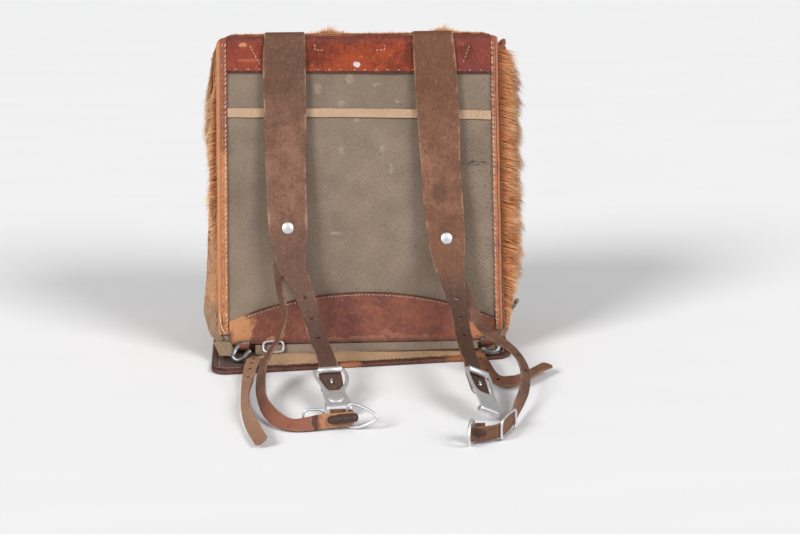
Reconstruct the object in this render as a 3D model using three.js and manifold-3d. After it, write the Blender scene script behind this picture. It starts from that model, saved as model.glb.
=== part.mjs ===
// A fur-covered military rucksack standing upright, seen with its wearer's side towards -Y.
// Millimetres, +Z up. The origin is the middle of the pack's base, on the surface it stands on.
import * as THREE from "three";
import { mergeVertices } from "three/addons/utils/BufferGeometryUtils.js";
import Module from "manifold-3d";

const wasm = await Module();
wasm.setup();

// Driving dimensions of the bag
const PANEL_HEIGHT = 352;
const BAND_HEIGHT = 358;
const PANEL_HALF_FOOT = 170;
const PANEL_HALF_TOP = 165;
const PANEL_LEAN = THREE.MathUtils.degToRad(9);
const PANEL_FOOT_Y = -60;
const PANEL_FOOT_Z = 20;
const CANVAS = 2;
const LEATHER = 2.2;
const STRAP = 2.6;
const HIDE = 2;
const SEAM_GAP = 0.4;
const FOOT_CORNER = 24;
const TOP_CORNER = 12;
const CORNER_GAP_DEG = 1;
const CURVE_STEPS = 6;

// Leather on the wearer's side
const BINDING_WIDTH = 12;
const BINDING_ROWS = 12;
const BINDING_FOOT = 13.2;
const BINDING_TUCK = 3;
const TOP_BAND_DROP = 40;
const TOP_BAND_ROUND = 9;
const TOP_BAND_SHELF = 34;
const TOP_BAND_SAG = 1.6;
const PATCH_SIDE_HEIGHT = 28;
const PATCH_MID_HEIGHT = 60;
const PATCH_INSET = 2;
const TAPE_HEIGHT = 272;
const TAPE_WIDTH = 10;
const TAPE_FALL = 6;
const TAPE = 1;

// The flap's free end, which lies under the pack
const END_SHEET = 3;
const END_HALF_WIDTH = 176;
const END_REACH_LEFT = -110;
const END_REACH_RIGHT = -72;
const END_BACK_Y = 88;
const END_CORNER = 18;
const END_BINDING = 14;
const END_LEATHER = 1.8;
const END_BINDING_BACK = 20;

// Metal
const HOLE_RADIUS = 2.1;
const RIVET_HEAD = 7;
const RIVET_SHANK = 2.2;
const RIVET_BURR = 5;
const ROLLER_BORE = 2.3;
const ROLLER_RADIUS = 3.6;
const ROLLER_LENGTH = 26;
const HOOK_PLATE = 2.4;
const HOOK_WIDTH = 27;
const HOOK_STRAP_DEPTH = -5.2;
const LOOP_WIRE = 1.5;
const BUCKLE_WIRE = 1.4;
const WIRE_STEPS = 16;
const WIRE_SIDES = 6;
const AUX_WIDTH = 18;

const paint = (color, roughness, metalness = 0) =>
  new THREE.MeshStandardMaterial({ color, roughness, metalness });
const canvas = paint(0x7a6f5f, 0.9);
const lining = paint(0x8a745a, 0.9);
const redLeather = paint(0x8a3f22, 0.45);
const tanLeather = paint(0xa9683c, 0.6);
const strapLeather = paint(0x6b4a3a, 0.65);
const tape = paint(0xb89a76, 0.9);
const hideLeather = paint(0x9a6a42, 0.8);
const fur = paint(0xa8602c, 0.9);
const steel = paint(0xc4c6c8, 0.3, 1);
const darkSteel = paint(0x5b5d60, 0.4, 1);

const vector = (x, y, z) => new THREE.Vector3(x, y, z);
const share = (i, count) => i / (count - 1);
const mix = THREE.MathUtils.lerp;
const ease = THREE.MathUtils.smoothstep;

// A short table, one row for each section, read by its column names.
function table(columns, rows) {
  const names = columns.split(" ");
  return rows.map((row) => Object.fromEntries(names.map((name, i) => [name, row[i]])));
}

// A column of a table at a row number that may lie between two rows, on a smooth curve.
function between(rows, column, at) {
  const last = rows.length - 1;
  const i = Math.min(Math.floor(THREE.MathUtils.clamp(at, 0, last)), last - 1);
  const value = (k) => rows[THREE.MathUtils.clamp(k, 0, last)][column];
  const t = at - i;
  const a = value(i);
  const b = value(i + 1);
  const slopeA = (b - value(i - 1)) / 2;
  const slopeB = (value(i + 2) - a) / 2;
  return (
    a * (2 * t ** 3 - 3 * t ** 2 + 1) +
    slopeA * (t ** 3 - 2 * t ** 2 + t) +
    b * (3 * t ** 2 - 2 * t ** 3) +
    slopeB * (t ** 3 - t ** 2)
  );
}

// A column of a table looked up by the value of another column, in straight steps.
function lookUp(rows, key, column, at) {
  const next = rows.findIndex((row) => row[key] >= at);
  if (next === 0) return rows[0][column];
  if (next < 0) return rows.at(-1)[column];
  const [low, high] = [rows[next - 1], rows[next]];
  return mix(low[column], high[column], (at - low[key]) / (high[key] - low[key]));
}

// A closed geometry from points and triangles, turned to face outwards.
function closedGeometry(points, triangles) {
  let volume = 0;
  for (const [a, b, c] of triangles) {
    volume += points[a].dot(vector(0, 0, 0).crossVectors(points[b], points[c]));
  }
  const faces = volume < 0 ? triangles.map(([a, b, c]) => [a, c, b]) : triangles;
  const geometry = new THREE.BufferGeometry().setFromPoints(points);
  geometry.setIndex(faces.flat());
  geometry.computeVertexNormals();
  return geometry;
}

// Skin over rings of points with equal counts.
// Its ends are fans, strips between two faces, or joined to each other.
function loft(rings, ends = "fan") {
  const sides = rings[0].length;
  const points = rings.flat();
  const triangles = [];
  const at = (ring, side) => (ring % rings.length) * sides + (side % sides);
  const quad = (a, b, c, d) => triangles.push([a, b, c], [a, c, d]);
  const spans = ends === "joined" ? rings.length : rings.length - 1;
  for (let i = 0; i < spans; i++) {
    for (let j = 0; j < sides; j++) {
      const corners = [at(i, j), at(i, j + 1), at(i + 1, j + 1), at(i + 1, j)];
      const innerFace = ends === "strip" && j >= sides / 2;
      if (innerFace) quad(corners[1], corners[2], corners[3], corners[0]);
      else quad(...corners);
    }
  }
  if (ends === "joined") return closedGeometry(points, triangles);
  for (const [ring, turned] of [[0, true], [rings.length - 1, false]]) {
    const cap = (a, b, c) => triangles.push(turned ? [a, c, b] : [a, b, c]);
    if (ends === "fan") {
      for (let j = 1; j < sides - 1; j++) cap(at(ring, 0), at(ring, j), at(ring, j + 1));
    } else {
      for (let j = 0; j < sides / 2 - 1; j++) {
        cap(at(ring, j), at(ring, j + 1), at(ring, sides - 2 - j));
        cap(at(ring, j), at(ring, sides - 2 - j), at(ring, sides - 1 - j));
      }
    }
  }
  return closedGeometry(points, triangles);
}

// Unit normals of a grid of points, from its neighbours, pointing along rows x columns.
function gridNormals(grid) {
  return grid.map((row, i) =>
    row.map((_, j) => {
      const down = grid[Math.min(i + 1, grid.length - 1)][j].clone();
      down.sub(grid[Math.max(i - 1, 0)][j]);
      const over = row[Math.min(j + 1, row.length - 1)].clone();
      over.sub(row[Math.max(j - 1, 0)]);
      return down.cross(over).normalize();
    }),
  );
}

// A wall: a grid of points as its outer face, and the same grid moved in by the thickness.
function wall(grid, thickness, lift = 0) {
  const normals = gridNormals(grid);
  const layer = (row, i, depth) =>
    row.map((point, j) => point.clone().addScaledVector(normals[i][j], depth));
  const rings = grid.map((row, i) => [
    ...layer(row, i, lift),
    ...layer(row, i, lift - thickness).reverse(),
  ]);
  return loft(rings, "strip");
}

// A three.js geometry as a solid that can be cut and joined, and back again.
function solid(geometry) {
  const bare = new THREE.BufferGeometry();
  bare.setAttribute("position", geometry.getAttribute("position"));
  if (geometry.index) bare.setIndex(geometry.index);
  const merged = mergeVertices(bare, 1e-4);
  return new wasm.Manifold(
    new wasm.Mesh({
      numProp: 3,
      vertProperties: new Float32Array(merged.getAttribute("position").array),
      triVerts: new Uint32Array(merged.index.array),
    }),
  );
}

function fromSolid(made) {
  const mesh = made.getMesh();
  const geometry = new THREE.BufferGeometry();
  geometry.setAttribute("position", new THREE.BufferAttribute(mesh.vertProperties, 3));
  geometry.setIndex(new THREE.BufferAttribute(mesh.triVerts, 1));
  geometry.computeVertexNormals();
  return geometry;
}

const rucksack = new THREE.Group();
const panelGroup = new THREE.Group();
panelGroup.position.set(0, PANEL_FOOT_Y, PANEL_FOOT_Z);
panelGroup.rotation.x = -PANEL_LEAN;
panelGroup.updateMatrix();
rucksack.add(panelGroup);

function place(name, geometry, material, parent = rucksack) {
  const mesh = new THREE.Mesh(geometry, material.clone());
  mesh.name = name;
  parent.add(mesh);
  return mesh;
}

// A place on the leaning wearer's side: across, height up the panel, and distance proud of it.
const onPanel = (x, height, proud) => vector(x, -proud, height).applyMatrix4(panelGroup.matrix);
const panelHalf = (height) => mix(PANEL_HALF_FOOT, PANEL_HALF_TOP, height / PANEL_HEIGHT);

function extrude(outline, depth) {
  return new THREE.ExtrudeGeometry(outline, { depth, bevelEnabled: false, curveSegments: CURVE_STEPS });
}

// A flat piece on the panel, from an outline drawn across and up, between two depths.
function onPanelPlate(outline, from, to) {
  return extrude(outline, to - from).rotateX(Math.PI / 2).translate(0, -from, 0);
}

// The boxing strip: side, top and bottom walls between the panel and the open front
const FRONT_FOOT_Z = END_SHEET + SEAM_GAP;
const FRONT_TOP_Z = 352;
const FRONT_NARROWING = 0.965;
const FOOT_DROP_DEPTH = 0.22;
const TOP_CROWN = 3;
const BULGE_SKEW = 0.7;
const depthSteps = [0, 0.08, 0.22, 0.45, 0.7, 1];
const SIDE_STATIONS = 7;

const wallShape = table("height front_y bulge_left bulge_right", [
  [0.0, 64, 6, 6],
  [0.12, 76, 20, 12],
  [0.35, 84, 11, 9],
  [0.65, 83, 4, 6],
  [0.9, 77, 3, 4],
  [1.0, 70, 1.5, 2],
]);

function outlineArc(centreX, centreH, radius, fromDeg, toDeg, count) {
  return Array.from({ length: count }, (_, i) => {
    const angle = THREE.MathUtils.degToRad(mix(fromDeg, toDeg, share(i, count)));
    const [outX, outH] = [Math.cos(angle), Math.sin(angle)];
    return { x: centreX + radius * outX, height: centreH + radius * outH, outX, outH };
  });
}

const footCorner = (side, from, to) =>
  outlineArc(side * (PANEL_HALF_FOOT - FOOT_CORNER), FOOT_CORNER, FOOT_CORNER, from, to, 4);
const topCorner = (side, from, to) =>
  outlineArc(side * (PANEL_HALF_TOP - TOP_CORNER), PANEL_HEIGHT - TOP_CORNER, TOP_CORNER, from, to, 3);

function sideStations(side) {
  const turn = (deg) => (side > 0 ? 180 - deg : deg);
  const upright = Array.from({ length: SIDE_STATIONS }, (_, i) => {
    const height = mix(FOOT_CORNER, PANEL_HEIGHT - TOP_CORNER, (i + 1) / (SIDE_STATIONS + 1));
    return { x: side * panelHalf(height), height, outX: side, outH: 0 };
  });
  return [
    ...footCorner(side, turn(225 - CORNER_GAP_DEG), turn(180)),
    ...upright,
    ...topCorner(side, turn(180), turn(135 + CORNER_GAP_DEG * 2)),
  ];
}

const bottomStations = [
  ...footCorner(-1, 225 + CORNER_GAP_DEG, 270),
  { x: 0, height: 0, outX: 0, outH: -1 },
  ...footCorner(1, 270, 315 - CORNER_GAP_DEG),
];
const topStations = [
  ...topCorner(-1, 135 - CORNER_GAP_DEG * 2, 90),
  { x: 0, height: PANEL_HEIGHT, outX: 0, outH: 1 },
  ...topCorner(1, 90, 45 + CORNER_GAP_DEG * 2),
];

// One point of the boxing strip: from the panel's edge to the front rim, swelling outwards on the way.
function boxingPoint({ x, height, outX, outH }, depth) {
  const up = height / PANEL_HEIGHT;
  const back = onPanel(x, height, -CANVAS - SEAM_GAP);
  const front = vector(
    x * FRONT_NARROWING,
    lookUp(wallShape, "height", "front_y", up),
    mix(FRONT_FOOT_Z, FRONT_TOP_Z, up),
  );
  const swell = Math.sin(Math.PI * depth ** BULGE_SKEW);
  const bulge = lookUp(wallShape, "height", x < 0 ? "bulge_left" : "bulge_right", up) * Math.abs(outX);
  const crown = outH > 0 ? TOP_CROWN * outH : 0;
  const steady = ease(up, 0, 0.4);
  const drop = Math.max(0, 1 - depth / FOOT_DROP_DEPTH) ** 2;
  const stillBack = mix(drop, 1 - depth, steady);
  return vector(
    mix(back.x, front.x, depth) + outX * bulge * swell,
    mix(back.y, front.y, depth),
    mix(front.z, back.z, stillBack) + crown * swell,
  );
}

function boxingWall(stations, thickness) {
  return wall(stations.map((station) => depthSteps.map((depth) => boxingPoint(station, depth))), thickness);
}

place("side_gusset_left", boxingWall(sideStations(-1), CANVAS), canvas);
place("side_gusset_right", boxingWall(sideStations(1), -CANVAS), canvas);
place("bottom_gusset", boxingWall(bottomStations, -CANVAS), canvas);
place("top_gusset", boxingWall(topStations, CANVAS), canvas);

// The wearer's side
function panelOutline(inset) {
  const outline = new THREE.Shape();
  const foot = PANEL_HALF_FOOT - inset;
  const top = PANEL_HALF_TOP - inset;
  const peak = PANEL_HEIGHT - inset;
  outline.moveTo(-foot + FOOT_CORNER, inset);
  outline.lineTo(foot - FOOT_CORNER, inset);
  outline.absarc(foot - FOOT_CORNER, FOOT_CORNER + inset, FOOT_CORNER, -Math.PI / 2, 0);
  outline.lineTo(top, peak - TOP_CORNER);
  outline.absarc(top - TOP_CORNER, peak - TOP_CORNER, TOP_CORNER, 0, Math.PI / 2);
  outline.lineTo(-top + TOP_CORNER, peak);
  outline.absarc(-top + TOP_CORNER, peak - TOP_CORNER, TOP_CORNER, Math.PI / 2, Math.PI);
  outline.lineTo(-foot, FOOT_CORNER + inset);
  outline.absarc(-foot + FOOT_CORNER, FOOT_CORNER + inset, FOOT_CORNER, Math.PI, Math.PI * 1.5);
  return outline;
}
place("back_panel", onPanelPlate(panelOutline(1), -CANVAS, 0), canvas, panelGroup);

// Leather band along the top: it covers the panel's upper edge, rounds over it and lies on the top wall.
function topBand() {
  const proud = SEAM_GAP + LEATHER;
  const centre = { proud: proud - TOP_BAND_ROUND, height: BAND_HEIGHT + proud - TOP_BAND_ROUND };
  const section = new THREE.Shape();
  section.moveTo(SEAM_GAP, BAND_HEIGHT - TOP_BAND_DROP);
  section.lineTo(proud, BAND_HEIGHT - TOP_BAND_DROP);
  section.absarc(centre.proud, centre.height, TOP_BAND_ROUND, 0, Math.PI / 2);
  const shelf = centre.height + TOP_BAND_ROUND - TOP_BAND_SAG;
  section.lineTo(-TOP_BAND_SHELF, shelf);
  section.lineTo(-TOP_BAND_SHELF, shelf - LEATHER);
  section.absarc(centre.proud, centre.height, TOP_BAND_ROUND - LEATHER, Math.PI / 2, 0, true);
  const width = 2 * (PANEL_HALF_TOP - BINDING_WIDTH - SEAM_GAP);
  const upright = new THREE.Matrix4().makeBasis(vector(0, -1, 0), vector(0, 0, 1), vector(-1, 0, 0));
  return extrude(section, width).applyMatrix4(upright).translate(width / 2, 0, 0);
}
place("top_band", topBand(), redLeather, panelGroup);

// Arched patch along the foot of the panel.
function bottomPatch() {
  const half = PANEL_HALF_FOOT - BINDING_WIDTH - PATCH_INSET;
  const rise = PATCH_MID_HEIGHT - PATCH_SIDE_HEIGHT;
  const radius = (half ** 2 + rise ** 2) / (2 * rise);
  const reach = Math.asin(half / radius);
  const outline = new THREE.Shape();
  outline.moveTo(-half, PATCH_INSET);
  outline.lineTo(half, PATCH_INSET);
  outline.absarc(0, PATCH_MID_HEIGHT - radius, radius, Math.PI / 2 - reach, Math.PI / 2 + reach);
  return onPanelPlate(outline, SEAM_GAP, SEAM_GAP + LEATHER);
}
place("bottom_patch", bottomPatch(), redLeather, panelGroup);

// Leather binding down each side edge: a rounded strip that laps the panel and its seam.
const bindingSection = table("across proud", [
  [1, 0.4], [1, 2.2], [0.86, 3.2], [0.5, 3.4], [0.12, 3.0], [0, 2.2], [0, 0.4],
]);
function edgeBinding(side) {
  const rings = Array.from({ length: BINDING_ROWS }, (_, i) => {
    const height = mix(BINDING_FOOT, BAND_HEIGHT + 1, share(i, BINDING_ROWS));
    const inward = ease(FOOT_CORNER - height, 0, FOOT_CORNER) * BINDING_TUCK;
    return bindingSection.map(({ across, proud }) =>
      vector(side * (panelHalf(height) - inward - BINDING_WIDTH * (1 - across)), -proud, height),
    );
  });
  return loft(rings);
}
place("edge_binding_left", edgeBinding(-1), tanLeather, panelGroup);
place("edge_binding_right", edgeBinding(1), tanLeather, panelGroup);

function stripeTape() {
  const half = panelHalf(TAPE_HEIGHT) - BINDING_WIDTH - SEAM_GAP * 2;
  const outline = new THREE.Shape();
  outline.moveTo(-half, TAPE_HEIGHT - TAPE_WIDTH / 2);
  outline.lineTo(half, TAPE_HEIGHT - TAPE_WIDTH / 2 - TAPE_FALL);
  outline.lineTo(half, TAPE_HEIGHT + TAPE_WIDTH / 2 - TAPE_FALL);
  outline.lineTo(-half, TAPE_HEIGHT + TAPE_WIDTH / 2);
  return onPanelPlate(outline, SEAM_GAP, SEAM_GAP + TAPE);
}
place("stripe_tape", stripeTape(), tape, panelGroup);

// The flap: a hide over the top, down the front and round both sides, with its fur outside
const FLAP_ROUND = 14;
const FLAP_CROWN = 9;
const FLAP_FRONT_SHARE = 0.62;
const FLAP_ROW_STEP = 0.1;
const FUR_BACKING = 1.8;
const LOCK_EMBED = 1.1;
const LOCK_FIRST_ROW = 0.2;
const LOCK_ROW_STEP = 1.12;
const LOCK_STAGGER = 0.08;
const LOCK_TOP_LENGTH = 0.75;
const LOCK_UNEVEN = 0.03;
const flapColumns = [-1, -0.9, -0.8, -0.71, -0.62, -0.42, -0.21, 0, 0.21, 0.42, 0.62, 0.71, 0.8, 0.9, 1];
const flapRows = table("y z left_x right_x wing", [
  [36, 369.5, 158, 160, 8],
  [52, 365.5, 159, 161, 8],
  [70, 359.5, 165, 168, 14],
  [82, 347, 169, 174, 28],
  [88, 325, 171, 178, 42],
  [92, 280, 172, 180, 46],
  [95, 220, 174, 182, 46],
  [96, 160, 177, 184, 46],
  [95, 110, 180, 185, 44],
  [92, 65, 182, 185, 42],
  [88, 30, 180, 182, 34],
  [84, 12, 176, 178, 18],
  [82, 3.6, 172, 174, 10],
]);

// A point of the flap's outer face, by its row down the flap and its share across, -1 to 1.
function flapPoint(row, column) {
  const sideName = column < 0 ? "left_x" : "right_x";
  const [y, z, sideX, wing] = ["y", "z", sideName, "wing"].map((name) => between(flapRows, name, row));
  const step = (name) =>
    between(flapRows, name, row + FLAP_ROW_STEP) - between(flapRows, name, row - FLAP_ROW_STEP);
  const outward = vector(0, -step("z"), step("y")).normalize();
  const side = column < 0 ? -1 : 1;
  const half = sideX - FLAP_ROUND;
  const reach = Math.abs(column) / FLAP_FRONT_SHARE;
  if (reach <= 1) {
    const crown = FLAP_CROWN * (1 - reach ** 2) * ease(row, 1.5, 5) * ease(12 - row, 0, 3);
    return vector(0, y, z).addScaledVector(outward, crown).setX(side * half * reach);
  }
  const round = ((Math.abs(column) - FLAP_FRONT_SHARE) / (1 - FLAP_FRONT_SHARE)) * wing;
  const angle = Math.min(round / FLAP_ROUND, Math.PI / 2);
  const past = Math.max(0, round - (FLAP_ROUND * Math.PI) / 2);
  const inward = FLAP_ROUND * (1 - Math.cos(angle)) + past;
  return vector(0, y, z).addScaledVector(outward, -inward).setX(side * (half + FLAP_ROUND * Math.sin(angle)));
}

const flapGrid = flapRows.map((_, row) => flapColumns.map((column) => flapPoint(row, column)));
place("flap_hide", wall(flapGrid, -HIDE), hideLeather);

// A point on the flap's flat facets, where a lock of fur is rooted.
function flapFacet(row, column) {
  const i = Math.floor(row);
  const j = Math.max(flapColumns.findIndex((value) => value >= column), 1);
  const t = (column - flapColumns[j - 1]) / (flapColumns[j] - flapColumns[j - 1]);
  const along = (k) => flapGrid[k][j - 1].clone().lerp(flapGrid[k][j], t);
  return along(i).lerp(along(i + 1), row - i);
}

// Fur lies down the front, flat on the left side and standing out on the right side.
const furLay = table("column length rise spread width bulk", [
  [-1.0, 26, 0.14, 0.2, 8, 0.3],
  [-0.7, 30, 0.2, 0.15, 9, 0.4],
  [-0.3, 40, 0.34, 0.05, 10, 0.7],
  [0.3, 40, 0.34, 0.05, 10, 0.7],
  [0.7, 32, 0.7, 0.25, 9, 0.7],
  [1.0, 28, 1.1, 0.35, 8, 0.7],
]);
const lockSections = table("along width", [
  [0, 1],
  [0.55, 0.75],
  [1, 0.06],
]);

function furLock(row, column, stretch) {
  const [length, rise, spread, width, bulk] = ["length", "rise", "spread", "width", "bulk"].map((name) =>
    lookUp(furLay, "column", name, column),
  );
  const down = flapPoint(row + FLAP_ROW_STEP, column).sub(flapPoint(row - FLAP_ROW_STEP, column)).normalize();
  const over = flapPoint(row, column + 0.02).sub(flapPoint(row, column - 0.02)).normalize();
  const out = over.clone().cross(down).normalize();
  const lean = down.clone().addScaledVector(out, rise).addScaledVector(over, spread * Math.sign(column));
  lean.normalize();
  const across = lean.clone().cross(out).normalize();
  const up = across.clone().cross(lean).normalize();
  const root = flapFacet(row, column).addScaledVector(out, LOCK_EMBED);
  const rings = lockSections.map((section) => {
    const centre = root.clone().addScaledVector(lean, length * stretch * section.along);
    const wide = width * section.width;
    return [
      centre.clone().addScaledVector(across, wide),
      centre.clone().addScaledVector(up, wide * bulk),
      centre.clone().addScaledVector(across, -wide),
    ];
  });
  return loft(rings);
}

const lockColumns = [-0.95, -0.78, -0.58, -0.3, 0, 0.3, 0.58, 0.68, 0.82, 0.95];
// The first and last row that carries a lock, by the column's place: on a wing or on the front.
function lockReach(column) {
  if (column < -FLAP_FRONT_SHARE) return { first: 3.6, last: 9 };
  if (column > FLAP_FRONT_SHARE) return { first: 2.6, last: 9 };
  return { first: 0, last: 9.4 };
}

function flapFur() {
  let coat = solid(wall(flapGrid.slice(0, -1), -FUR_BACKING, -FUR_BACKING - SEAM_GAP));
  for (let row = LOCK_FIRST_ROW; row < flapRows.length; row += LOCK_ROW_STEP) {
    for (const [j, column] of lockColumns.entries()) {
      const at = row + LOCK_STAGGER * ((j * 7) % 5);
      const fullLength = row < 2 ? LOCK_TOP_LENGTH : 1;
      const stretch = fullLength - LOCK_UNEVEN * ((j * 3 + Math.round(row) * 5) % 7);
      const { first, last } = lockReach(column);
      if (at >= first && at <= last) coat = coat.add(solid(furLock(at, column, stretch)));
    }
  }
  return fromSolid(coat);
}
place("flap_fur", flapFur(), fur);

// The flap's end comes back under the pack and shows as a bound tongue in front of it.
function endOutline(grow) {
  const side = END_HALF_WIDTH + grow;
  const front = (x) => mix(END_REACH_LEFT, END_REACH_RIGHT, (x + side) / (2 * side)) - grow;
  const corner = END_CORNER + grow;
  const outline = new THREE.Shape();
  outline.moveTo(side, END_BACK_Y + grow);
  outline.lineTo(-side, END_BACK_Y + grow);
  outline.lineTo(-side, front(-side) + corner);
  outline.quadraticCurveTo(-side, front(-side), -side + corner, front(-side + corner));
  outline.lineTo(side - corner, front(side - corner));
  outline.quadraticCurveTo(side, front(side), side, front(side) + corner);
  return outline;
}
const slab = (outline, from, to) => extrude(outline, to - from).translate(0, 0, from);
place("flap_end", slab(endOutline(0), 0, END_SHEET), lining);

function endBinding() {
  const top = END_SHEET + SEAM_GAP;
  const block = solid(slab(endOutline(SEAM_GAP + END_LEATHER), 0, top + END_LEATHER));
  const bare = solid(slab(endOutline(-END_BINDING), -END_BINDING, END_BINDING));
  const sheet = solid(slab(endOutline(SEAM_GAP), -END_BINDING, top));
  const underPack = new THREE.BoxGeometry(3 * END_HALF_WIDTH, END_HALF_WIDTH, END_HALF_WIDTH);
  underPack.translate(0, END_BINDING_BACK + END_HALF_WIDTH / 2, 0);
  return fromSolid(block.subtract(bare).subtract(sheet).subtract(solid(underPack)));
}
place("flap_end_binding", endBinding(), tanLeather);

// Straps: a table gives the middle line, the width and the way the grain side faces.
const strapColumns = "x y z width face_x face_y face_z";
function strapSpine(rows) {
  const curve = new THREE.CatmullRomCurve3(rows.map(({ x, y, z }) => vector(x, y, z)));
  return (at) => {
    const portion = at / (rows.length - 1);
    const centre = curve.getPoint(portion);
    const along = curve.getTangent(portion);
    const [x, y, z] = ["face_x", "face_y", "face_z"].map((name) => between(rows, name, at));
    const across = along.clone().cross(vector(x, y, z)).normalize();
    const face = across.clone().cross(along).normalize();
    return { centre, along, across, face, half: between(rows, "width", at) / 2, last: rows.length - 1 };
  };
}

function strapSolid(spine, perRow, thickness = STRAP) {
  const count = spine(0).last * perRow + 1;
  const rings = Array.from({ length: count }, (_, i) => {
    const { centre, across, face, half } = spine(i / perRow);
    const corner = (a, f) =>
      centre.clone().addScaledVector(across, a * half).addScaledVector(face, (f * thickness) / 2);
    return [corner(-1, -1), corner(1, -1), corner(1, 1), corner(-1, 1)];
  });
  return loft(rings);
}

function peg(centre, direction, radius, length, sides = 8) {
  const turn = new THREE.Quaternion().setFromUnitVectors(vector(0, 1, 0), direction);
  const geometry = new THREE.CylinderGeometry(radius, radius, length, sides);
  return geometry.applyQuaternion(turn).translate(centre.x, centre.y, centre.z);
}

function punched(spine, perRow, holes) {
  let strap = solid(strapSolid(spine, perRow));
  for (const [at, radius] of holes) {
    const { centre, face } = spine(at);
    strap = strap.subtract(solid(peg(centre, face, radius, STRAP * 3)));
  }
  return fromSolid(strap);
}

// A body turned about a line: radius and place along the line, from one end to the other.
function turned(profile, centre, direction, sides = 12) {
  const turn = new THREE.Quaternion().setFromUnitVectors(vector(0, 0, 1), direction);
  const rings = profile.map(({ radius, along }) =>
    Array.from({ length: sides }, (_, i) => {
      const angle = (2 * Math.PI * i) / sides;
      const point = vector(radius * Math.cos(angle), radius * Math.sin(angle), along);
      return point.applyQuaternion(turn).add(centre);
    }),
  );
  return loft(rings);
}

// Round wire along a curve through points, open with flat ends or closed on itself.
function wire(points, radius, closed, steps, sides = 8) {
  const curve = new THREE.CatmullRomCurve3(points.map(([x, y, z]) => vector(x, y, z)), closed);
  const frames = curve.computeFrenetFrames(steps, closed);
  const rings = Array.from({ length: closed ? steps : steps + 1 }, (_, i) => {
    const centre = curve.getPointAt(i / steps);
    return Array.from({ length: sides }, (_, j) => {
      const angle = (2 * Math.PI * j) / sides;
      return centre
        .clone()
        .addScaledVector(frames.normals[i], radius * Math.cos(angle))
        .addScaledVector(frames.binormals[i], radius * Math.sin(angle));
    });
  });
  return loft(rings, closed ? "joined" : "fan");
}

// Strap hooks: a roller frame drawn out into a plate that folds under as a flat hook
const HOOK_PLATE_START = 37;
const HOOK_PLATE_END = 60;
const HOOK_FOLD = 4.4;
const HOOK_TIP = 41;
const HOOK_STUD_ALONG = 17;

// Local frame of a hook: x across, y from the roller to the hook's bend, z up from its face.
function hookMatrix(roller, bend, acrossHint) {
  const along = bend.clone().sub(roller).normalize();
  const across = acrossHint.clone().addScaledVector(along, -acrossHint.dot(along)).normalize();
  const up = across.clone().cross(along);
  return new THREE.Matrix4().makeBasis(across, along, up).setPosition(roller);
}
const hookLeft = hookMatrix(vector(-43, -197, 34), vector(-38, -259.5, 10), vector(-1, 0, 0));
const hookRight = hookMatrix(vector(118, -229, 39), vector(125, -286, 15.5), vector(-0.84, 0, 0.54));

function hookBody() {
  const outer = new THREE.Shape();
  outer.moveTo(-16, -1.6);
  outer.lineTo(16, -1.6);
  outer.quadraticCurveTo(19, 0, 19, 11);
  outer.quadraticCurveTo(19, 28, 13, 40);
  outer.lineTo(-13, 40);
  outer.quadraticCurveTo(-20, 28, -20, 11);
  outer.quadraticCurveTo(-20, 0, -16, -1.6);
  const inner = new THREE.Path();
  inner.moveTo(-13.5, 1.2);
  inner.lineTo(13.5, 1.2);
  inner.quadraticCurveTo(15, 5, 15, 12);
  inner.quadraticCurveTo(14.5, 28, 9, 34);
  inner.lineTo(-9, 34);
  inner.quadraticCurveTo(-14.5, 28, -15, 12);
  inner.quadraticCurveTo(-15, 5, -13.5, 1.2);
  outer.holes.push(inner);
  const frame = slab(outer, -HOOK_PLATE / 2, HOOK_PLATE / 2);
  const half = HOOK_PLATE / 2;
  const fold = new THREE.Shape();
  fold.moveTo(HOOK_PLATE_START, half);
  fold.lineTo(HOOK_PLATE_START, -half);
  fold.lineTo(HOOK_PLATE_END, -half);
  fold.absarc(HOOK_PLATE_END, -HOOK_FOLD, HOOK_FOLD - half, Math.PI / 2, -Math.PI / 2, true);
  fold.lineTo(HOOK_TIP, -2 * HOOK_FOLD + half);
  fold.lineTo(HOOK_TIP, -2 * HOOK_FOLD - half);
  fold.lineTo(HOOK_PLATE_END, -2 * HOOK_FOLD - half);
  fold.absarc(HOOK_PLATE_END, -HOOK_FOLD, HOOK_FOLD + half, -Math.PI / 2, Math.PI / 2);
  const plate = extrude(fold, HOOK_WIDTH);
  plate.applyMatrix4(new THREE.Matrix4().makeBasis(vector(0, 1, 0), vector(0, 0, 1), vector(1, 0, 0)));
  plate.translate(-HOOK_WIDTH / 2, 0, 0);
  return fromSolid(solid(frame).add(solid(plate)));
}

function hookRoller() {
  const sides = 14;
  const rings = Array.from({ length: sides }, (_, i) => {
    const angle = (2 * Math.PI * i) / sides;
    const point = (x, radius) => vector(x, radius * Math.cos(angle) - 0.2, radius * Math.sin(angle));
    const half = ROLLER_LENGTH / 2;
    return [
      point(-half, ROLLER_BORE),
      point(-half, ROLLER_RADIUS),
      point(half, ROLLER_RADIUS),
      point(half, ROLLER_BORE),
    ];
  });
  return loft(rings, "joined");
}

const studProfile = table("radius along", [
  [5, -3.2], [5, -1.8], [1.6, -1.8], [1.6, 3.0], [1.0, 3.6],
]);

function placeHook(side, matrix) {
  const group = new THREE.Group();
  group.applyMatrix4(matrix);
  rucksack.add(group);
  place(`strap_hook_${side}`, hookBody(), steel, group);
  place(`hook_roller_${side}`, hookRoller(), steel, group);
  const seat = vector(0, HOOK_STUD_ALONG, HOOK_STRAP_DEPTH);
  place(`hook_stud_${side}`, turned(studProfile, seat, vector(0, 0, 1), 10), steel, group);
}

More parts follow.
